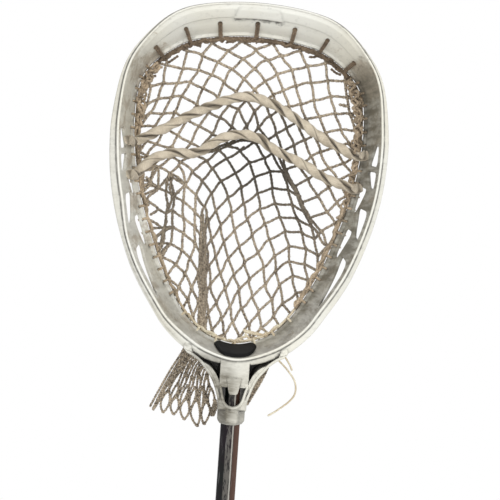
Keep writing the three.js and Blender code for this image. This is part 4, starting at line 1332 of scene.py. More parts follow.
# Knots of the mesh in pixels, along each slanting cord: the cord's number, its first crossing
# cord's number, and its knots from the upper right down to the lower left
MESH_KNOTS_PX = [
    (-4, 4, [
        (151, 86), (147.5, 104), (142, 117),
    ]),
    (-3, 3, [
        (166, 65), (164, 83), (158, 99), (150, 113), (141, 126), (136, 138),
    ]),
    (-2, 2, [
        (187, 51), (183, 69), (178, 83), (172, 97), (163, 114), (154.5, 127), (147, 141),
        (139, 152),
    ]),
    (-1, 1, [
        (212, 43), (202, 55), (199, 70), (190, 82), (182, 96), (175, 112), (166, 128), (156, 144),
        (147, 156), (143, 170),
    ]),
    (0, 0, [
        (242, 41), (228, 50.5), (218, 62), (212, 75), (203, 88), (197, 105), (187, 120),
        (178, 135), (172, 147), (161, 158), (153, 166), (150, 181),
    ]),
    (1, -1, [
        (272, 43), (256, 49.5), (243, 59), (232, 69), (224, 82), (218, 98), (209, 112),
        (199.5, 126), (191, 143), (180, 155),
    ]),
    (2, -2, [
        (300, 51), (282, 56), (267.5, 60), (255, 69), (244, 79), (236, 92), (229, 105),
        (220, 118), (212.5, 134), (200, 149), (184, 156),
    ]),
    (3, -3, [
        (325, 63), (307.5, 66), (292, 70), (277, 74), (265, 81), (255, 90), (247, 100),
        (238.5, 109), (232, 127), (224, 139), (208, 147), (190, 153), (171, 157), (158, 167),
        (158.5, 188),
    ]),
    (4, -4, [
        (345, 81), (328, 80.5), (311, 83), (296, 86), (283, 90), (273.5, 95), (264, 103),
        (254.5, 111), (247, 125), (240, 136), (228, 144), (212, 151), (196, 155), (180.5, 162),
        (170, 173.5), (174, 196), (172, 210), (173, 227), (170.5, 244), (162, 257),
    ]),
    (5, -4, [
        (347, 97.5), (331, 96.5), (314, 100), (301, 104), (289, 106), (279, 110), (270, 116),
        (258.5, 127.5), (251, 137), (241, 140), (229, 146), (219, 150), (206.5, 161),
        (192.5, 171), (185, 185), (183.5, 202), (183, 217), (183.5, 233), (182, 250),
        (176, 264.5), (166, 277),
    ]),
    (6, -4, [
        (350, 114), (335, 113.5), (319.5, 116.5), (306, 119), (297, 122), (286.5, 128),
        (276, 134), (268, 140), (262, 143), (254, 142), (240, 150.5), (226.5, 158.5),
        (212.5, 168.5), (202, 180.5), (196, 195), (194.5, 210.5), (195, 226.5), (195, 243.5),
        (190, 258.5), (184.5, 273), (179, 287), (172.5, 298),
    ]),
    (7, -4, [
        (355.5, 130.5), (341, 129.5), (325.5, 133), (314, 135), (304.5, 140), (294, 145.5),
        (282, 151), (277, 153), (272, 153), (265, 158), (249.5, 162.5), (235.5, 173), (221, 181),
        (211.5, 193.5), (204.5, 206.5), (201, 218), (200.5, 234), (200, 252), (198.5, 271.5),
        (191.5, 288.5), (188, 299.5), (182, 312),
    ]),
    (8, -4, [
        (361, 143.5), (349, 143.5), (335, 147), (320.5, 152), (311, 156), (298, 165), (286, 170),
        (288, 179), (282.5, 171.5), (270, 171.5), (254.5, 177.5), (241.5, 187), (228, 197),
        (216, 210.5), (209, 220), (204.5, 232), (203, 248), (201, 266), (200, 287), (198.5, 303),
        (193, 315.5), (187, 324),
    ]),
    (9, -3, [
        (357, 155), (343.5, 163.5), (329, 168), (317, 173.5), (308, 179), (294, 187),
        (299.5, 197), (288, 189.5), (272.5, 188), (257.5, 193), (243.5, 203.5), (231, 213.5),
        (221, 224.5), (211, 240), (206, 247.5), (204, 262), (202, 279), (201, 300), (199, 315),
        (198, 329.5),
    ]),
    (10, -2, [
        (352, 174), (337, 180), (328.5, 187.5), (318, 196.5), (302.5, 202), (303.5, 211),
        (292, 204.5), (275, 203.5), (260, 208.5), (247.5, 219.5), (234.5, 230), (224, 242),
        (215.5, 257.5), (208.5, 266), (205, 277), (203, 293), (201.5, 312), (200, 330),
    ]),
    (11, -1, [
        (347.5, 196), (337, 202.5), (327, 212), (309.5, 218), (311.5, 226.5), (297, 218.5),
        (279.5, 217), (264.5, 223.5), (252, 236), (239.5, 246), (228.5, 258.5), (220.5, 273),
        (210.5, 284.5), (206, 297), (203.5, 310), (202, 325),
    ]),
    (12, 0, [
        (347, 213.5), (335, 223), (321.5, 231.5), (314.5, 239), (301.5, 232), (285.5, 231),
        (269.5, 239.5), (258, 252), (244.5, 262.5), (234, 275), (225, 288.5), (216.5, 302.5),
        (208, 313.5), (205, 326),
    ]),
    (13, 1, [
        (338, 236), (328, 246), (318, 256), (306, 248.5), (289, 246.5), (274.5, 256),
        (263.5, 268), (249.5, 279), (238.5, 291.5), (230, 306), (221, 319), (212, 330),
        (207, 338),
    ]),
    (14, 3, [
        (317.5, 271), (304.5, 264), (289, 261.5), (275.5, 271.5), (265.5, 284.5), (252, 297),
        (241.5, 308), (233, 322), (224.5, 334), (215.5, 341),
    ]),
    (15, 4, [
        (308, 280), (293, 276), (279.5, 284.5), (272, 300), (259, 310.5), (249, 325),
        (239.5, 337),
    ]),
    (16, 4, [
        (307.5, 291), (296, 293), (282.5, 304), (273.5, 317), (261, 328), (251, 338),
    ]),
    (17, 5, [
        (299, 306), (290.5, 314), (282, 328), (272, 338),
    ]),
]

# Knots of that mesh which lie beside a gap of their own, away from the rail
UNTIED = ((6, 6), (7, 5))

# Strands of the mesh that are folded or tangled, in pixels
TANGLES_PX = [
    [(158, 167), (151, 182), (158.5, 188), (147, 199), (158, 209), (150, 215)],
    [(158, 209), (166, 213), (172, 210)], [(170, 173.5), (165, 181), (158.5, 188)],
    [(143, 192), (151, 182), (146, 177)], [(141, 182), (142, 196), (146, 200)],
    [(150, 220), (157, 224), (164, 229), (173, 227)],
    [(166, 213), (166, 221), (164, 229), (154, 238)],
    [(164, 229), (164, 238), (161, 248), (157, 255)],
    [(166, 221), (163, 232), (161, 243), (159, 252)], [(170.5, 244), (165, 250), (160, 258)],
    [(170, 174), (167, 184), (166, 195), (168, 206), (166, 213)],
    [(172, 178), (170, 188), (172, 198), (168, 210)], [(185, 185), (178, 192), (173, 197)],
    [(170, 176), (177, 180), (185, 185)], [(178, 164), (183, 172), (185, 182)],
    [(203, 214), (204, 240), (206, 270), (203, 300), (203, 336)],
    [(207, 212), (205, 232), (203, 262), (205, 292), (201, 320), (201, 336)],
    [(201, 226), (201, 250), (204, 276), (206, 300), (204, 322), (205, 337)],
    [(240, 150.5), (244.5, 146.5)],
    [(286, 170), (291, 181), (299, 196), (303.5, 211), (311.5, 226.5)],
    [(282.5, 171.5), (288, 180), (296, 193), (301, 206), (309.5, 218)],
    [(311.5, 226.5), (317, 232), (322, 242), (328, 246)],
    [(349.5, 107), (344, 105.5), (339, 104.5)],
]

# Routes of the shooting strings in pixels, from the left wall to the right
UPPER_ROUTE_PX = [
    (134, 142), (145, 137), (165, 128), (185, 117.5), (205, 108.5), (225, 101), (245, 96.5), (255, 98),
    (272, 104), (290, 115), (308, 128), (325, 140), (342, 149), (356, 156),
]
LOWER_ROUTE_PX = [
    (128, 176), (138, 171.5), (150, 160.5), (162, 155), (175, 152.5), (195, 153), (208, 147), (220, 139),
    (240, 134.5), (258, 138), (270, 147), (285, 155.5), (305, 165.5), (325, 178), (343, 185), (354, 189),
]

# Lines of the mesh where it folds back into the ball channel, in pixels: height, then left or right
LEFT_FOLD_PX = [(150, 196), (205, 202), (260, 203), (335, 204)]
RIGHT_FOLD_PX = [(150, 272), (168, 284), (200, 301), (245, 323), (272, 315), (300, 301), (335, 282)]
CHANNEL_PX = (140, 215, 262, 345)

# Parts of the mesh that are painted darker, in pixels: middle, spread across and down, and how dark
DARK_SPOTS_PX = [
    (256, 158, 52, 50, 1.0), (300, 205, 18, 42, 0.55), (168, 212, 12, 34, 0.6), (204, 250, 7, 60, 0.3),
]

# Flat ends of the bottom string that lie inside the throat, in pixels
FOOT_ENDS_PX = [
    [(243, 330), (253, 332.5), (263, 335), (271, 338.5)], [(245, 334), (251, 340), (258, 343)],
    [(244, 331.5), (254, 334), (264, 336), (271, 340)], [(232, 343), (238, 339), (247, 336)],
]

# Cut ends left under the scoop, in pixels
STUBS_PX = [
    [(145, 79), (151, 76), (156, 76)], [(168, 63), (173, 59.5), (178, 56)],
    [(190, 44), (196, 45), (201, 46.5)], [(232, 40), (226, 43)], [(262, 39), (256, 43)],
    [(293, 43.5), (286, 47)], [(321, 54), (315, 57), (309, 57)], [(341, 75), (336, 73), (331, 69)],
]


# The mesh's tail in pixels: its open diamonds as top, left, foot and right, then single strands
TAIL_LOOPS_PX = [
    [(168.5, 391), (160.8, 402), (163, 412), (169.3, 403)],
    [(176.5, 397), (170.5, 405), (173.5, 414), (178.7, 407)],
    [(186.5, 399), (180.2, 408), (184, 419), (189.2, 411)],
    [(196.5, 400), (190.5, 413), (197, 425.5), (200, 415)],
    [(206, 402), (201.3, 414), (204, 423.5), (210, 411)],
    [(211, 388.5), (208, 399), (211, 409), (214.5, 399)],
    [(170, 383.5), (162.5, 391.5), (161, 397), (169, 388)],
    [(178, 383.5), (172.3, 392), (170.2, 401), (177.8, 391)],
    [(188, 385.5), (182, 394), (180, 405), (187.6, 393)],
    [(195.3, 387.5), (190.3, 396), (189.8, 409), (195.8, 396)],
    [(202.3, 387), (199.5, 398), (200.6, 413), (203.3, 398)],
    [(185.8, 374), (181.5, 383), (179.7, 391), (186, 382)],
    [(191.8, 377), (189.6, 384), (188.8, 391), (193, 384)],
    [(199, 375.5), (197, 384), (197.5, 392), (200.6, 384)],
    [(206.5, 375), (204, 384), (205.3, 394), (208.5, 383)],
]
TAIL_RUNS_PX = [
    [(183.5, 349), (171, 369), (160, 388), (150, 406.5)],
    [(185, 351), (173, 371), (162.5, 389), (152.5, 409.5)],
    [(186.5, 352), (175.5, 371), (165.5, 388), (157, 404), (153, 410)],
    [(188, 353.5), (178, 371), (170, 383.5)], [(189.5, 355), (181, 370), (174, 380), (168.5, 391)],
    [(191, 356), (184, 368), (178, 383.5)], [(192.5, 358), (187, 368), (181.5, 383)],
    [(194, 360), (189, 368), (185.8, 374)], [(196, 361), (191, 370), (186, 382)],
    [(198, 363), (194, 370), (191.8, 377)], [(200, 364.5), (196.5, 371), (193, 384)],
    [(202, 366), (198.5, 371), (197, 384)], [(203.5, 367), (200.5, 371), (199, 375.5)],
    [(205, 369), (202.8, 375), (200.6, 384)], [(207, 371), (206.5, 375), (205.5, 380)],
    [(209, 373), (208, 380), (211, 388.5)],
]
TAIL_LINKS_PX = [
    [(179.7, 391), (176.5, 397)], [(188.8, 391), (186.5, 399)], [(197.5, 392), (196.5, 400)],
    [(205.3, 394), (206, 402)], [(211, 409), (212.5, 416)], [(214.5, 399), (215.5, 407), (212.5, 416)],
]
TAIL_STRIP_PX = [
    [(268, 363), (263, 375), (254, 391), (246.5, 405)], [(266, 365), (260, 378), (251, 393), (245.5, 403)],
    [(269, 364), (262, 380), (253, 395), (247, 405)],
]


def tail_lines(ring, cords):
    """Strands and knots of the mesh's tail, from the back of the ring to its loose loops."""

    def at(spot):
        drop = min(max((spot[1] - 350) / 75, 0), 1)
        return seen_at(*spot, 0.0285 + cords.tail_drop * drop * drop)

    lines, knots = [], []
    for loop in TAIL_LOOPS_PX:
        lines.append(Path([at(spot) for spot in loop], closed=True).spread(24))
        knots += [(at(spot), np.array([0.3, 0, 0.95])) for spot in (loop[0], loop[2])]
    for route in TAIL_LINKS_PX:
        for shift in (-0.9, 0.9):
            lines.append(Path([at((x + shift, y)) for x, y in route]).spread(6))
    for (first, last), runs in ((TAIL_SPAN, TAIL_RUNS_PX), (STRIP_SPAN, TAIL_STRIP_PX)):
        for k, route in enumerate(runs):
            place = first + (last - first) * k / (len(runs) - 1)
            row = ring.read(place)
            rest = ring.inner(row, 1) + ring.sizes.wall / 2
            top = ring.point(row, rest, row[7] + cords.seat + cords.mesh_cord * 0.65)
            curve = Path([top] + [at(spot) for spot in route])
            lines.append(curve.spread(max(int(curve.length / 0.003), 4)))
    return lines, knots


def seen_at(x, y, depth):
    """The point at a depth behind the shaft's axis that the camera sees at a pixel."""
    u = (x / FRAME_PX - 0.5 + SHIFT) * SENSOR / LENS
    v = (0.5 - y / FRAME_PX) * SENSOR / LENS
    across = u * math.cos(ROLL) - v * math.sin(ROLL)
    up = u * math.sin(ROLL) + v * math.cos(ROLL)
    way = np.array([
        across * math.cos(TURN) + math.sin(TURN), math.cos(TURN) - across * math.sin(TURN), up,
    ])
    return np.array(EYE) + way * (depth - EYE[1]) / way[1]


class Net:
    """The hanging mesh: its knots as the photograph shows them, and their depth from the ring's."""

    def __init__(self, ring, cords):
        self.cords = cords
        clear = 2 * cords.seat + cords.rail_cord + 0.8 * cords.mesh_cord
        spots = [k / 160 for k in range(160)]
        self.rail = np.array([ring.rail(k, clear) for k in spots])
        self.string = np.array([ring.rail(k, cords.seat + cords.rail_cord / 2) for k in spots])
        self.knots = {
            (a, b + k): spot for a, b, row in MESH_KNOTS_PX for k, spot in enumerate(row)
        }

    def depth(self, x, y):
        """Depth of the mesh at a pixel: the rail's, with the flanks and the ball channel behind it."""
        flat = seen_at(x, y, 0.02)
        gaps = np.hypot(self.rail[:, 0] - flat[0], self.rail[:, 2] - flat[2])
        weights = 1 / (gaps ** 2 + 1e-6)
        base = float(np.sum(weights * self.rail[:, 1]) / np.sum(weights))
        left = float(np.interp(y, *zip(*LEFT_FOLD_PX)))
        right = float(np.interp(y, *zip(*RIGHT_FOLD_PX)))
        start, full, fall, end = CHANNEL_PX
        wall = smooth(left - 5, left + 7, x) * smooth(right + 5, right - 6, x)
        run = smooth(start, full, y) * smooth(end, fall, y)
        flank = self.cords.flank * min(float(gaps.min()) / 0.05, 1.0)
        return base + flank * (1 - 0.4 * wall * run) + 0.92 * self.cords.pocket * wall * run

    def at(self, x, y, lift=0.0):
        """The point of the mesh at a pixel, lifted towards the mouth."""
        return seen_at(x, y, self.depth(x, y) - lift)

    def strand(self, route, count, lift=0.0):
        """A strand over the mesh through pixels."""
        return Path([self.at(*spot, lift) for spot in route]).spread(count)

    def strands(self, slack, seed):
        """Strand lines and knots of the whole mesh, tied to the rail round its edge."""
        rng = np.random.default_rng(seed)
        places = {key: self.at(*spot) for key, spot in self.knots.items()}
        lines, knots = [], []
        for (a, b), at in places.items():
            sides = [places.get(key) for key in ((a, b + 1), (a + 1, b), (a, b - 1), (a - 1, b))]
            for end in sides[:2]:
                if end is not None:
                    lines.append(bowed(at, end, rng.normal(0, slack, 2)))
            if any(end is None for end in sides) and (a, b) not in UNTIED:
                lines += self.tied(at, rng)
            below = sides[0] if sides[0] is not None else sides[2]
            way = below - at if below is not None else np.array([0, 0, 1])
            knots.append((at, way / np.linalg.norm(way)))
        for route in TANGLES_PX:
            curve = Path([self.at(*spot, 0.0015 + 0.001 * rng.random()) for spot in route])
            lines.append(curve.spread(6 * len(route)))
            knots += [(self.at(*spot, 0.001), np.array([0.6, 0, 0.8])) for spot in route[1:-1:2]]
        return lines, knots

    def tied(self, at, rng):
        """A strand from an outer knot round the string on the rail, where that is near."""
        gaps = np.linalg.norm(self.string - at, axis=1)
        k = int(gaps.argmin())
        if gaps[k] > 0.03:
            return []
        ends = [self.string[(k + shift) % len(self.string)] for shift in (-1, 1)]
        return [bowed(at, end, rng.normal(0, 0.05, 2)) for end in ends]


def bowed(start, end, bow):
    """Points from start to end, with a gentle bow that leans to either side."""
    way = end - start
    over = np.cross(way, (0, 1, 0))
    line = []
    for t in np.linspace(0, 1, 7):
        swing = bow[0] * math.sin(math.pi * t) + 0.5 * bow[1] * math.sin(2 * math.pi * t)
        back = np.array([0, 0.4 * abs(swing) * np.linalg.norm(way), 0])
        line.append(start + way * t + over * swing + back)
    return line


def paint(mesh, name, values):
    """Stores one number for each vertex."""
    layer = mesh.attributes.new(name, "FLOAT", "POINT")
    layer.data.foreach_set("value", np.asarray(values, np.float32))


class Spot:
    """A point of the head with its place on the ring, and the soil and shadow that lie there."""

    def __init__(self, ring, throat, k, vertex):
        self.ring, self.throat, self.place = ring, throat, k / ring.SAMPLES
        self.x, y, z = vertex.co
        self.normal, self.z = vertex.normal, z
        self.row = row = ring.rows[k]
        self.out = (self.x - row[0]) * row[2] + (z - row[1]) * row[3]
        self.back = y - row[4]
        self.rise, self.sunk = z - ring.base, y + throat.depth / 2
        self.along = 1 - abs(1 - 2 * self.place)
        self.inside = smooth(0.0006, -0.0012, self.out) if self.out < 0.001 else 0.0
        self.wall = self.inside * smooth(0.0006, 0.002, self.back)
        self.scoop = smooth(0.69, 0.79, self.along)
        self.right = smooth(0.0, 0.05, self.x)
        self.left = smooth(0.007, -0.01, self.x)
        self.corner = bell(self.along, 0.72, 0.06)
        self.foot = smooth(0.3, 0.12, self.along)
        self.flank = self.wall * (1 - self.scoop) * (1 - 0.7 * self.foot)

    def stain(self):
        """Soil: over the walls, and most in the scoop's corners."""
        corner = 0.42 * self.corner * (0.3 + 0.7 * self.inside)
        return 0.1 + 0.32 * self.wall * (1 - self.scoop) + corner

    def soot_and_shade(self):
        """Scuffs at the right corner and on the scoop's right edge; darker down the right wall and a
        little at the foot.
        """
        edge = (1 - self.inside) * self.scoop * smooth(0.03, 0.09, self.x)
        right = (0.16 * self.corner + 0.25 * self.flank) * self.right
        return 0.08 + right + 0.1 * self.foot + 0.35 * edge

    def shade(self, beads):
        """Painted shade with some dirt in it: on the walls, the throat and the outer band."""
        bead = self.ring.sizes.bead
        low = self.out > bead or self.rise < -0.025
        below = (1 - self.inside) * smooth(0.013, -0.001, self.rise) if low else 0.0
        throat_shade = below * max(self.throat_shade(beads), 0.2)
        # Inner walls darker on the right and at the foot
        wall = self.flank * (0.38 + 0.52 * self.right)
        wall += self.wall * self.foot * (0.42 + 0.16 * self.right)
        return wall + max(throat_shade, self.band_shade(bead) * (1 - below))

    def throat_shade(self, beads):
        """Painted shade on the throat: its sides by the way they face, its front face with less shade on
        the beads, and its tongue.
        """
        x, facing, throat = self.x, self.normal.x, self.throat
        # Painted shade on sides that face left, and less on those that face right
        shade_film = 0.8 * smooth(0.3, 0.8, -facing) * smooth(0, -0.008, x)
        shade_film = max(shade_film, 0.35 * smooth(0.3, 0.8, facing))
        if self.normal.y >= -0.5:
            return shade_film
        # Painted shade over the front face, darker to the left and lower down
        low = smooth(-0.013, -0.022, self.rise) * (0.4 if abs(x) < throat.plate_half else 0.3)
        face = 0.3 + 0.36 * self.left + low * (0.3 + 0.7 * self.left)
        # Less painted shade on the beads, which catch the light
        if beads.gap(x, self.z) < throat.bead * 0.55:
            face *= 0.4 + 0.6 * self.left
        if abs(x) < TONGUE[-1][0] + 0.0005 and self.rise < -0.02 and self.sunk < 0.002:
            face += 0.22
        return max(shade_film, face)

    def band_shade(self, bead):
        """Painted shade on the outer band, on its steep side and down the left side, and grey at the
        scoop's crest.
        """
        band, clean_foot = self.row[5], 1 - self.foot
        # Painted shade on the band's steep sides, more on the left
        shade_film = (1 - self.inside) * smooth(0.45, 0.95, abs(self.normal.x))
        shade_film *= 0.65 if self.x < 0 else 0.3
        if self.x < 0 and bead * 1.4 < self.out:
            shade_film = max(shade_film, 0.26 * (1 - self.scoop) * clean_foot)
        if bead * 1.1 < self.out:
            shade_film = max(shade_film, 0.16 * clean_foot)
        shade_film = max(shade_film, 0.5 * self.scoop * smooth(0.72, 0.97, self.out / band))
        if self.x < 0 and bead < self.out:
            ridge = bell((self.out - bead) / (band - bead), 0.6, 0.2)
            shade_film = max(shade_film, 0.75 * ridge * smooth(0.46, 0.3, self.along))
        return shade_film

    def groove(self):
        """Painted shade in dark lines: beside the bead, in the throat, over the rail, at the step and the
        bare pad.
        """
        bead, band, share = self.ring.sizes.bead, self.row[5], self.back / self.row[7]
        line = bell(self.out, bead + (band - bead) * 0.14, 0.0009) if self.back < 0.008 else 0
        recess = 0.5 * smooth(0.02, -0.005, self.rise) * smooth(0.001, 0.0055, self.sunk)
        under = 0.7 * smooth(0.88, 0.99, share) * self.inside
        v = (share - (BARE_LOW + BARE_HIGH) / 2) / ((BARE_HIGH - BARE_LOW) / 2)
        u = (self.place - 0.5) * self.ring.crest.length / (BARE_HALF * (0.9 + 0.1 * v))
        rim = max(abs(u), abs(v))
        pad = 0.22 * self.inside * bell(rim, 1.0, 0.06) if rim < 1.2 else 0
        step = 0.16 * self.scoop * self.inside * bell(share, step_line(self.place), 0.02)
        return max(line, recess, under, step if rim >= 1 else 0, pad)


def paint_head(mesh, ring, throat):
    """Stores where soil and scuffs lie on the head, and where shade is painted: over its faces, in grooves
    and in hollows.
    """
    beads = Beads(ring, throat)
    tree = KDTree(ring.SAMPLES)
    for k in range(ring.SAMPLES):
        tree.insert((ring.rows[k, 0], 0, ring.rows[k, 1]), k)
    tree.balance()
    marks = {"stain": [], "soot_and_shade": [], "groove": [], "shade": []}
    for vertex in mesh.vertices:
        spot = Spot(ring, throat, tree.find((vertex.co.x, 0, vertex.co.z))[1], vertex)
        marks["stain"].append(spot.stain())
        marks["soot_and_shade"].append(spot.soot_and_shade())
        marks["groove"].append(spot.groove())
        marks["shade"].append(spot.shade(beads))
    marks["hollow"] = hollows(mesh, HOLLOW_REACH)
    for name, values in marks.items():
        paint(mesh, name, np.clip(values, 0, 1))


def divided(mesh, longest, top):
    """A mesh whose faces below a height are cut up until no edge is longer than a length."""
    shell = bmesh.new()
    shell.from_mesh(mesh)

    def low(items):
        return [item for item in items if min(v.co.z for v in item.verts) < top]

    for turn in range(6):
        ragged = [face for face in low(shell.faces) if len(face.verts) > 3]
        bmesh.ops.triangulate(shell, faces=ragged)
        edges = [edge for edge in low(shell.edges) if edge.calc_length() > longest]
        if turn == 5 or not edges:
            break
        bmesh.ops.subdivide_edges(shell, edges=edges, cuts=1)
    shell.to_mesh(mesh)
    shell.free()
    return mesh


def hollows(mesh, reach, count=26):
    """How far the mesh itself shuts each of its points in, from 0 in the open to 1."""
    shell = BVHTree.FromPolygons(
        [v.co for v in mesh.vertices], [tuple(p.vertices) for p in mesh.polygons]
    )
    ways = []
    for k in range(count):
        z, turn = 1 - (2 * k + 1) / count, k * math.pi * (3 - math.sqrt(5))
        flat = math.sqrt(1 - z * z)
        ways.append(Vector((flat * math.cos(turn), flat * math.sin(turn), z)))
    shares = []
    for vertex in mesh.vertices:
        normal, shut, total = vertex.normal, 0.0, 0.0
        start = vertex.co + normal * 0.0002
        for way in ways:
            facing = way.dot(normal)
            if facing < 0.15:
                continue
            total += facing
            gap = shell.ray_cast(start, way, reach)[3]
            if gap is not None:
                shut += facing * (1 - gap / reach)
        shares.append(shut / max(total, 1e-6))
    return shares


def sizes_of(context):
    """The property groups that the operators read, in the order of GROUPS."""
    return [getattr(context.scene, name) for name in GROUPS]


class STICK_OT_stage(bpy.types.Operator):
    """Adds the camera, the floor, the lamps and the plain surroundings"""

    bl_idname = "stick.stage"
    bl_label = "Stage"

    def execute(self, context):
        scene = context.scene
        camera = bpy.data.objects.new("camera", bpy.data.cameras.new("camera"))
        scene.collection.objects.link(camera)
        scene.camera = camera
        scene.view_settings.view_transform = "Standard"
        camera.matrix_world = (
            Matrix.Translation(EYE)
            @ Matrix.Rotation(-TURN, 4, "Z")
            @ Matrix.Rotation(math.pi / 2, 4, "X")
            @ Matrix.Rotation(ROLL, 4, "Z")
        )
        camera.data.lens, camera.data.sensor_width = LENS, SENSOR
        camera.data.shift_x = SHIFT
        camera.data.clip_start = 0.02
        self.floor(context)
        self.lamps(context)
        self.surroundings(context)
        return {"FINISHED"}

    def floor(self, context):
        """A pale round floor under the butt end."""
        shell = bmesh.new()
        bmesh.ops.create_circle(shell, cap_ends=True, segments=96, radius=1.6)
        mesh = bpy.data.meshes.new("floor")
        shell.to_mesh(mesh)
        shell.free()
        floor = bpy.data.objects.new("floor", mesh)
        context.scene.collection.objects.link(floor)
        material, _, out = surface("Pale floor", {"Roughness": 0.9, "Specular IOR Level": 0.1})
        out["Base Color"].default_value = rgba(context.scene.stick_colours.floor)
        mesh.materials.append(material)

    def lamps(self, context):
        """Soft lamps in front, to both sides, and behind."""
        for name, place, energy, size in LAMPS:
            lamp = bpy.data.lights.new(name, "AREA")
            lamp.energy, lamp.size = energy, size
            item = bpy.data.objects.new(name, lamp)
            context.scene.collection.objects.link(item)
            item.location = place
            aim = Vector(LAMP_AIM) - Vector(place)
            item.rotation_euler = aim.to_track_quat("-Z", "Y").to_euler()

    def surroundings(self, context):
        """Even light all round, seen as white."""
        world = bpy.data.worlds.new("surroundings")
        context.scene.world = world
        world.use_nodes = True
        tree = world.node_tree
        path = named(tree.nodes.new("ShaderNodeLightPath").outputs)
        seen = path["Is Camera Ray"].largest(path["Is Glossy Ray"])
        seen = seen.largest(path["Is Transmission Ray"])
        background = tree.nodes["Background"].inputs
        background["Color"].default_value = (1, 1, 1, 1)
        (seen * (1 - WORLD_LEVEL) + WORLD_LEVEL).to(background["Strength"])


class STICK_OT_loose_strings(bpy.types.Operator):
    """Makes the two loose ends of the bottom string"""

    bl_idname = "stick.loose_strings"
    bl_label = "Loose strings"

    def execute(self, context):
        head, _, _, cords, colours = sizes_of(context)
        ring = Ring(head)
        dark = [c * m for c, m in zip(colours.cream, (0.55, 0.45, 0.35))]
        material = cord_material("Waxed cream cord", colours.cream, dark, 900.0, 0.35, 60.0)
        for name, place, free in (
            ("loose_string_long", LOOSE_LONG, LONG_END), ("loose_string_short", LOOSE_SHORT, SHORT_END),
        ):
            path = loose_path(ring, cords, place, free)
            radius = cords.string / 2
            run = path.length

            def radius_at(share, angle):
                lay = run * share * 1500
                braid = 0.06 * math.sin(2 * angle + lay) * math.sin(2 * angle - lay)
                tip = 1 - 0.45 * smooth(0.985, 1.0, share) + 0.12 * smooth(0.94, 0.975, share)
                return radius * (0.97 + braid) * tip

            count = round(run / 0.0009)
            piece = finished(name + "_cord", tube(name, path, radius_at, count), material, 80)
            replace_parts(piece, name)
            list(path.at(0))
            [list(p) for p in path.spread(60)]
        return {"FINISHED"}


class STICK_OT_head(bpy.types.Operator):
    """Makes the head moulding with its windows, holes, throat and collar"""

    bl_idname = "stick.head"
    bl_label = "Head moulding"

    def execute(self, context):
        head, throat, shaft, _, colours = sizes_of(context)
        ring = Ring(head)
        throat_top = head.collar_foot + head.throat_rise * 1.1
        mesh = divided(head_mesh(ring, throat, shaft), FINE_EDGE, throat_top)
        paint_head(mesh, ring, throat)
        piece = finished("head_moulding", mesh, head_material(colours), 38)
        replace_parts(piece, "head_frame")
        return {"FINISHED"}


class STICK_OT_hardware(bpy.types.Operator):
    """Makes the head screw and the ball stop pad"""

    bl_idname = "stick.hardware"
    bl_label = "Screw and ball stop"

    def execute(self, context):
        head, throat, _, _, colours = sizes_of(context)
        self.screw(head, throat, colours)
        self.pad(Ring(head), colours)
        return {"FINISHED"}

    def screw(self, head, throat, colours):
        """A pan head screw with a cross recess, at the back of the collar."""
        seat, middle = throat.depth / 2 + 0.0003, head.collar_foot + throat.screw_rise
        profile = [
            (0.0016, 0.0025), (0.0028, 0.0021), (0.0037, 0.0015), (0.0042, 0.0007),
            (0.0042, 0.0), (0.002, 0.0), (0.002, -0.014), (0.0008, -0.0158),
        ]
        rings = [
            [(radius * math.cos(a), seat + y, middle + radius * math.sin(a)) for a in circle(32)]
            for radius, y in profile
        ]
        body = loft("screw", rings)
        for wide, tall in ((0.0022, 0.0004), (0.0004, 0.0022)):
            outline = [(-wide, -tall), (wide, -tall), (wide, tall), (-wide, tall)]
            cutter = slab(outline, seat + 0.0011, seat + 0.004, middle)
            body = combined(body, cutter, "DIFFERENCE")
        material = plain_material(
            "Plated steel", colours.steel, {"Metallic": 1.0, "Roughness": 0.32}, 900.0, 0.00005
        )
        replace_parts(finished("screw", body, material, 30), "head_screw")

    def pad(self, ring, colours):
        """A foam pad on the inside of the throat, crowned and pinched at its rim."""
        low, high = PAD[0][0], PAD[-1][0]

        def spot(u, v, layer):
            share = low + (high - low) * (v + 1) / 2
            half = PAD_WIDTH / 2 * between(PAD, share)[1]
            rim = (1 - abs(u) ** 18) * (1 - abs(v) ** 12)
            groove = bell(max(abs(u), abs(v)), 0.82, 0.03)
            crown = 0.3 + 0.7 * rim ** 0.4 - 0.1 * groove + 0.12 * (1 - u * u) * (1 - v * v)
            depth = PAD_SEAT + (PAD_THICK * crown * 0.95 if layer else 0)
            return ring.on_wall(u * half / ring.crest.length, share, depth)

        material = plain_material(
            "Skinned foam", colours.foam, {"Roughness": 0.7, "Specular IOR Level": 0.12}, 500.0, 0.0002
        )
        mesh = grid_solid("ball_stop", 48, 26, spot)
        piece = finished("ball_stop", mesh, material, 60)
        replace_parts(piece, "ball_stop_pad")


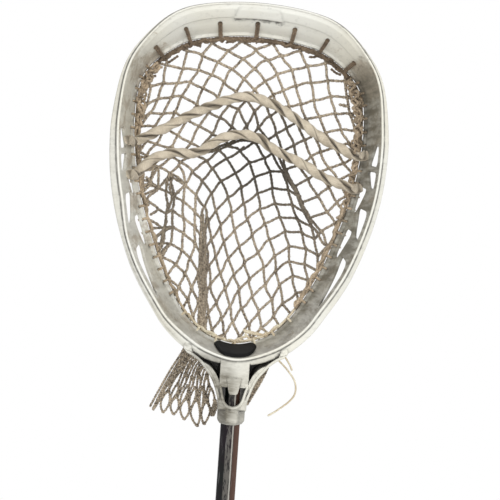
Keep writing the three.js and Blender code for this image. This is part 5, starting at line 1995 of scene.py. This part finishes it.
class STICK_OT_shaft(bpy.types.Operator):
    """Makes the eight sided shaft and its butt cap"""

    bl_idname = "stick.shaft"
    bl_label = "Shaft and butt cap"

    def execute(self, context):
        _, _, shaft, _, colours = sizes_of(context)
        heights = list(np.linspace(shaft.cap_floor + 0.0003, shaft.length, 24))
        outer = [octagon(shaft, 0.00005, z, shaft.edge, 3) for z in heights]
        inner = [octagon(shaft, -shaft.wall, z, shaft.edge * 0.5, 3) for z in reversed(heights)]
        mesh = loft("shaft", outer + inner, closed=True)
        front, side, line = [], [], []
        face, edge = -shaft.depth / 2, shaft.flat / 2
        for vertex in mesh.vertices:
            x, y, _ = vertex.co
            near = smooth(face + 0.0008, face + 0.0001, y)
            front.append(near)
            # Where the painted brown light lies: the right side
            side.append(smooth(edge - 0.0002, edge + 0.0014, x))
            line.append(near * smooth(edge - 0.0016, edge - 0.0011, x))
        for name, values in (("front", front), ("side", side), ("line", line)):
            paint(mesh, name, values)
        piece = finished("shaft_tube", mesh, shaft_material(colours), 25)
        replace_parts(piece, "shaft")
        self.cap(shaft, colours)
        return {"FINISHED"}

    def cap(self, sizes, colours):
        """A rubber cap with grooves round its sleeve, a rounded end and a plug in the tube."""
        wall, groove, seat = sizes.cap_wall, sizes.cap_wall - sizes.rib, 0.0003
        top, floor = sizes.cap_height, sizes.cap_floor
        plug = -sizes.wall - seat
        levels = [
            (wall - 0.0019, 0.0), (wall - 0.0011, 0.0003), (wall - 0.0004, 0.0009), (wall, 0.0019),
        ]
        for z in np.arange(0.008, top - 0.0055, 0.004):
            levels += [(wall, z), (groove, z + 0.0005), (groove, z + 0.0013), (wall, z + 0.0018)]
        levels += [(wall, top - 0.0012), (wall - 0.0004, top - 0.0003), (wall - 0.001, top)]
        levels += [(seat, top), (seat, floor), (plug, floor), (plug, top - 0.007)]
        rings = [octagon(sizes, extra, z, 0.0014) for extra, z in levels]
        material = plain_material(
            "Moulded rubber", colours.rubber, {"Roughness": 0.72, "Specular IOR Level": 0.3},
            700.0, 0.0002,
        )
        piece = finished("butt_cap_rubber", loft("butt_cap", rings), material, 30)
        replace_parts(piece, "butt_cap")


class STICK_OT_pocket(bpy.types.Operator):
    """Makes the knotted mesh of the pocket and its tail"""

    bl_idname = "stick.pocket"
    bl_label = "Pocket mesh and tail"

    def execute(self, context):
        head, _, _, cords, colours = sizes_of(context)
        ring = Ring(head)
        material = cord_material("Speckled mesh cord", colours.mesh_light, colours.mesh_dark)
        values = {**MESH_LAY, "Diameter": cords.mesh_cord * MESH_SWOLLEN, "Material": material}
        tree = knotted_mesh_tree()
        lines, knots = Net(ring, cords).strands(MESH_SLACK, MESH_SEED)
        piece = grown("pocket_mesh", lines, tree, values, "mesh_cord", knots)
        paint(piece.data, "worn", self.worn(piece.data))
        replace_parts(piece, "pocket_net")

        lines, knots = tail_lines(ring, cords)
        light, dark = rgba(colours.mesh_light, 0.92), rgba(colours.mesh_dark, 0.55)
        values["Diameter"] = cords.mesh_cord * TAIL_SWOLLEN
        values["Material"] = cord_material("Soiled mesh cord", light, dark)
        piece = grown("tail_mesh", lines, tree, values, "mesh_cord", knots)
        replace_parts(piece, "mesh_tail")
        return {"FINISHED"}

    def worn(self, mesh):
        """How much darker each point of the mesh is painted."""
        spots = []
        for x, y, wide, tall, most in DARK_SPOTS_PX:
            at, far = seen_at(x, y, 0.05), seen_at(x + wide, y + tall, 0.05)
            spots.append((at[0], at[2], abs(far[0] - at[0]), abs(far[2] - at[2]), most))
        return [
            max(
                most * math.exp(-(((v.co.x - x) / wide) ** 4) - ((v.co.z - z) / tall) ** 4)
                for x, z, wide, tall, most in spots
            )
            for v in mesh.vertices
        ]


class STICK_OT_rail_strings(bpy.types.Operator):
    """Makes the side strings and the bottom string, with their wraps round the rail"""

    bl_idname = "stick.rail_strings"
    bl_label = "Side and bottom strings"

    def execute(self, context):
        head, _, _, cords, colours = sizes_of(context)
        ring = Ring(head)
        dark = rgba(colours.tan, 0.28)
        tan = cord_material("Tan side string", colours.tan, dark, 600.0, 0.5, 60.0)
        cream = bpy.data.materials["Waxed cream cord"]
        right = rail_places()
        left = [1 - place for place in right]
        foot = np.linspace(-0.074, 0.074, 7)
        for name, first, last, material, slot_name, places in (
            ("side_string_right", TOP_CORNER, FOOT_CORNER, tan, "tan", right),
            ("side_string_left", 1 - TOP_CORNER, 1 - FOOT_CORNER, tan, "tan", left),
            ("bottom_string", -FOOT_CORNER, FOOT_CORNER, cream, "cream", foot),
        ):
            self.string(ring, cords, name, first, last, material, slot_name, places)
        return {"FINISHED"}

    def string(self, ring, cords, name, first, last, material, slot_name, places):
        """One string along the rail: a plied run and a wrap round the rail at each hole."""
        trim = cords.seat / ring.crest.length * math.copysign(1, last - first)
        run = []
        for place in np.linspace(first + trim, last - trim, 120):
            wave = 0.0004 * math.sin(place * 900)
            run.append(ring.rail(place, cords.seat + cords.rail_cord / 2 + abs(wave) * 0.5, wave))
        lines = [run] + [self.wrap(ring, cords, place) for place in places]
        if name == "bottom_string":
            net = Net(ring, cords)
            lines += [net.strand(route, 14, 0.002) for route in FOOT_ENDS_PX]
        for start, end, count, spread, seed in TANGLED_RUNS.get(name, ()):
            lines += tangled(ring, cords, start, end, count, spread, seed)
        values = {**RAIL_LAY, "Diameter": cords.rail_cord, "Material": material}
        piece = grown(name + "_cord", lines, plied_cord_tree(), values, slot_name)
        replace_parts(piece, name)

    def wrap(self, ring, cords, place):
        """A turn of a string round the rail at one place."""
        s = ring.sizes
        seat, shift = cords.string * 0.45, 0.0006 * math.sin(place * 500)
        row = ring.read(place + shift / ring.crest.length)
        height, foot = row[7], ring.inner(row, 1)
        hole, face = height * RAIL_HOLE_ACROSS, ring.inner(row, RAIL_HOLE_ACROSS)
        near, far = foot - s.rail - seat - 0.001, foot + s.wall + s.rail + seat
        route = [
            (face + s.wall / 2, hole), (face - seat, hole + 0.001),
            (near, height - s.rail_height * 0.8), (near, height - s.rail),
            (foot - 0.4 * s.rail, height + seat), (foot + s.wall, height + seat),
            (far, height - s.rail), (far, height - s.rail_height),
            (face + s.wall + seat, hole + 0.001),
        ]
        return ring.turn(row, route, 34)


class STICK_OT_top_string(bpy.types.Operator):
    """Makes the top string: its run along the scoop and a doubled loop at each hole"""

    bl_idname = "stick.top_string"
    bl_label = "Top string"

    def execute(self, context):
        head, _, _, cords, colours = sizes_of(context)
        ring = Ring(head)
        light, dark = rgba(colours.brown, 2.0), rgba(colours.brown, 0.5)
        material = cord_material("Dark top string", light, dark, 800.0, 0.5, 60.0)
        trim = cords.seat / ring.crest.length
        run = []
        for place in np.linspace(1 - TOP_CORNER - trim, TOP_CORNER + trim, 150):
            wave = 0.0005 * math.sin(place * 800)
            run.append(ring.rail(place, cords.string * 0.62 + abs(wave) * 0.5, wave))
        lines = [run]
        for place in scoop_places():
            lines += [self.loop(ring, cords, place, side) for side in (-1, 1)]
        net = Net(ring, cords)
        lines += [net.strand(route, 12) for route in STUBS_PX]
        lines += tangled(ring, cords, 1 - TOP_CORNER, TOP_CORNER, *TOP_TANGLE)
        values = {**TOP_LAY, "Diameter": cords.string * TOP_SWOLLEN, "Material": material}
        piece = grown("top_string_cord", lines, plied_cord_tree(), values, "tan")
        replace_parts(piece, "top_string")
        return {"FINISHED"}

    def loop(self, ring, cords, place, side):
        """One of the two strands of a loop through the scoop and round the rail."""
        s = ring.sizes
        row = ring.read(place + side * cords.string * 0.5 / ring.crest.length)
        seat, height = 3 * cords.seat + cords.string * 0.4, row[7]
        hole, foot = height * SCOOP_HOLE_ACROSS, ring.inner(row, 1)
        low, mid = height - s.rail_height, height * 0.72
        near, far = foot - s.rail - seat, foot + s.wall + s.rail + seat

        def inner(y):
            return ring.inner(row, y / height) - seat

        def outer(y):
            return ring.inner(row, y / height) + s.wall + seat

        route = [
            ((inner(hole) + outer(hole)) / 2, hole), (inner(hole + seat), hole + seat),
            (inner(mid), mid), (near, low), (near, height - s.rail), (foot, height + seat),
            (foot + s.wall, height + seat), (far, height - s.rail), (far, low), (outer(mid), mid),
            (outer(hole + seat), hole + seat),
        ]
        return ring.turn(row, route, 60)


class STICK_OT_shooters(bpy.types.Operator):
    """Makes the two shooting strings, each a twisted pair of flat laces"""

    bl_idname = "stick.shooters"
    bl_label = "Shooting strings"

    def execute(self, context):
        head, _, _, cords, colours = sizes_of(context)
        ring = Ring(head)
        net = Net(ring, cords)
        material = lace_material(colours)
        for name, route, rest in (
            ("upper_shooter", UPPER_ROUTE_PX, 1.2), ("lower_shooter", LOWER_ROUTE_PX, 1.6),
        ):
            path = shooting_path(ring, net, cords, route, rest)
            for k, side in enumerate((-1, 1), 1):
                mesh = lace_mesh(f"{name}_{k}", path, cords, side)
                piece = finished(f"{name}_woven_{k}", mesh, material, 70)
                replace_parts(piece, f"{name}_lace_{k}")
        return {"FINISHED"}


OPERATORS = (
    STICK_OT_stage, STICK_OT_loose_strings, STICK_OT_head, STICK_OT_hardware, STICK_OT_shaft,
    STICK_OT_pocket, STICK_OT_rail_strings, STICK_OT_top_string, STICK_OT_shooters,
)


class STICK_PT_panel(bpy.types.Panel):
    """Sidebar panel of the stick"""

    bl_label = "Goalie Stick"
    bl_space_type = "VIEW_3D"
    bl_region_type = "UI"
    bl_category = "Stick"

    def draw(self, context):
        for operator in OPERATORS:
            self.layout.operator(operator.bl_idname)
        for name in GROUPS:
            box = self.layout.box()
            box.label(text=name.replace("_", " "))
            group = getattr(context.scene, name)
            for label in group.__annotations__:
                box.prop(group, label)


GROUPS = {
    "stick_head": StickHeadSizes, "stick_throat": StickThroatSizes, "stick_shaft": StickShaftSizes,
    "stick_cords": StickCordSizes, "stick_colours": StickColours,
}
CLASSES = (*GROUPS.values(), *OPERATORS, STICK_PT_panel)


def register():
    """Registers the classes and hangs the sizes on the scene."""
    for item in CLASSES:
        bpy.utils.register_class(item)
    for name, kind in GROUPS.items():
        setattr(bpy.types.Scene, name, PointerProperty(type=kind))


def unregister():
    """Takes the classes away again."""
    for name in GROUPS:
        delattr(bpy.types.Scene, name)
    for item in reversed(CLASSES):
        bpy.utils.unregister_class(item)


def main():
    """Builds the stick."""
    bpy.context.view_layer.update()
    register()
    for operator in OPERATORS:
        group, name = operator.bl_idname.split(".")
        getattr(getattr(bpy.ops, group), name)()


if __name__ == "__main__":
    main()
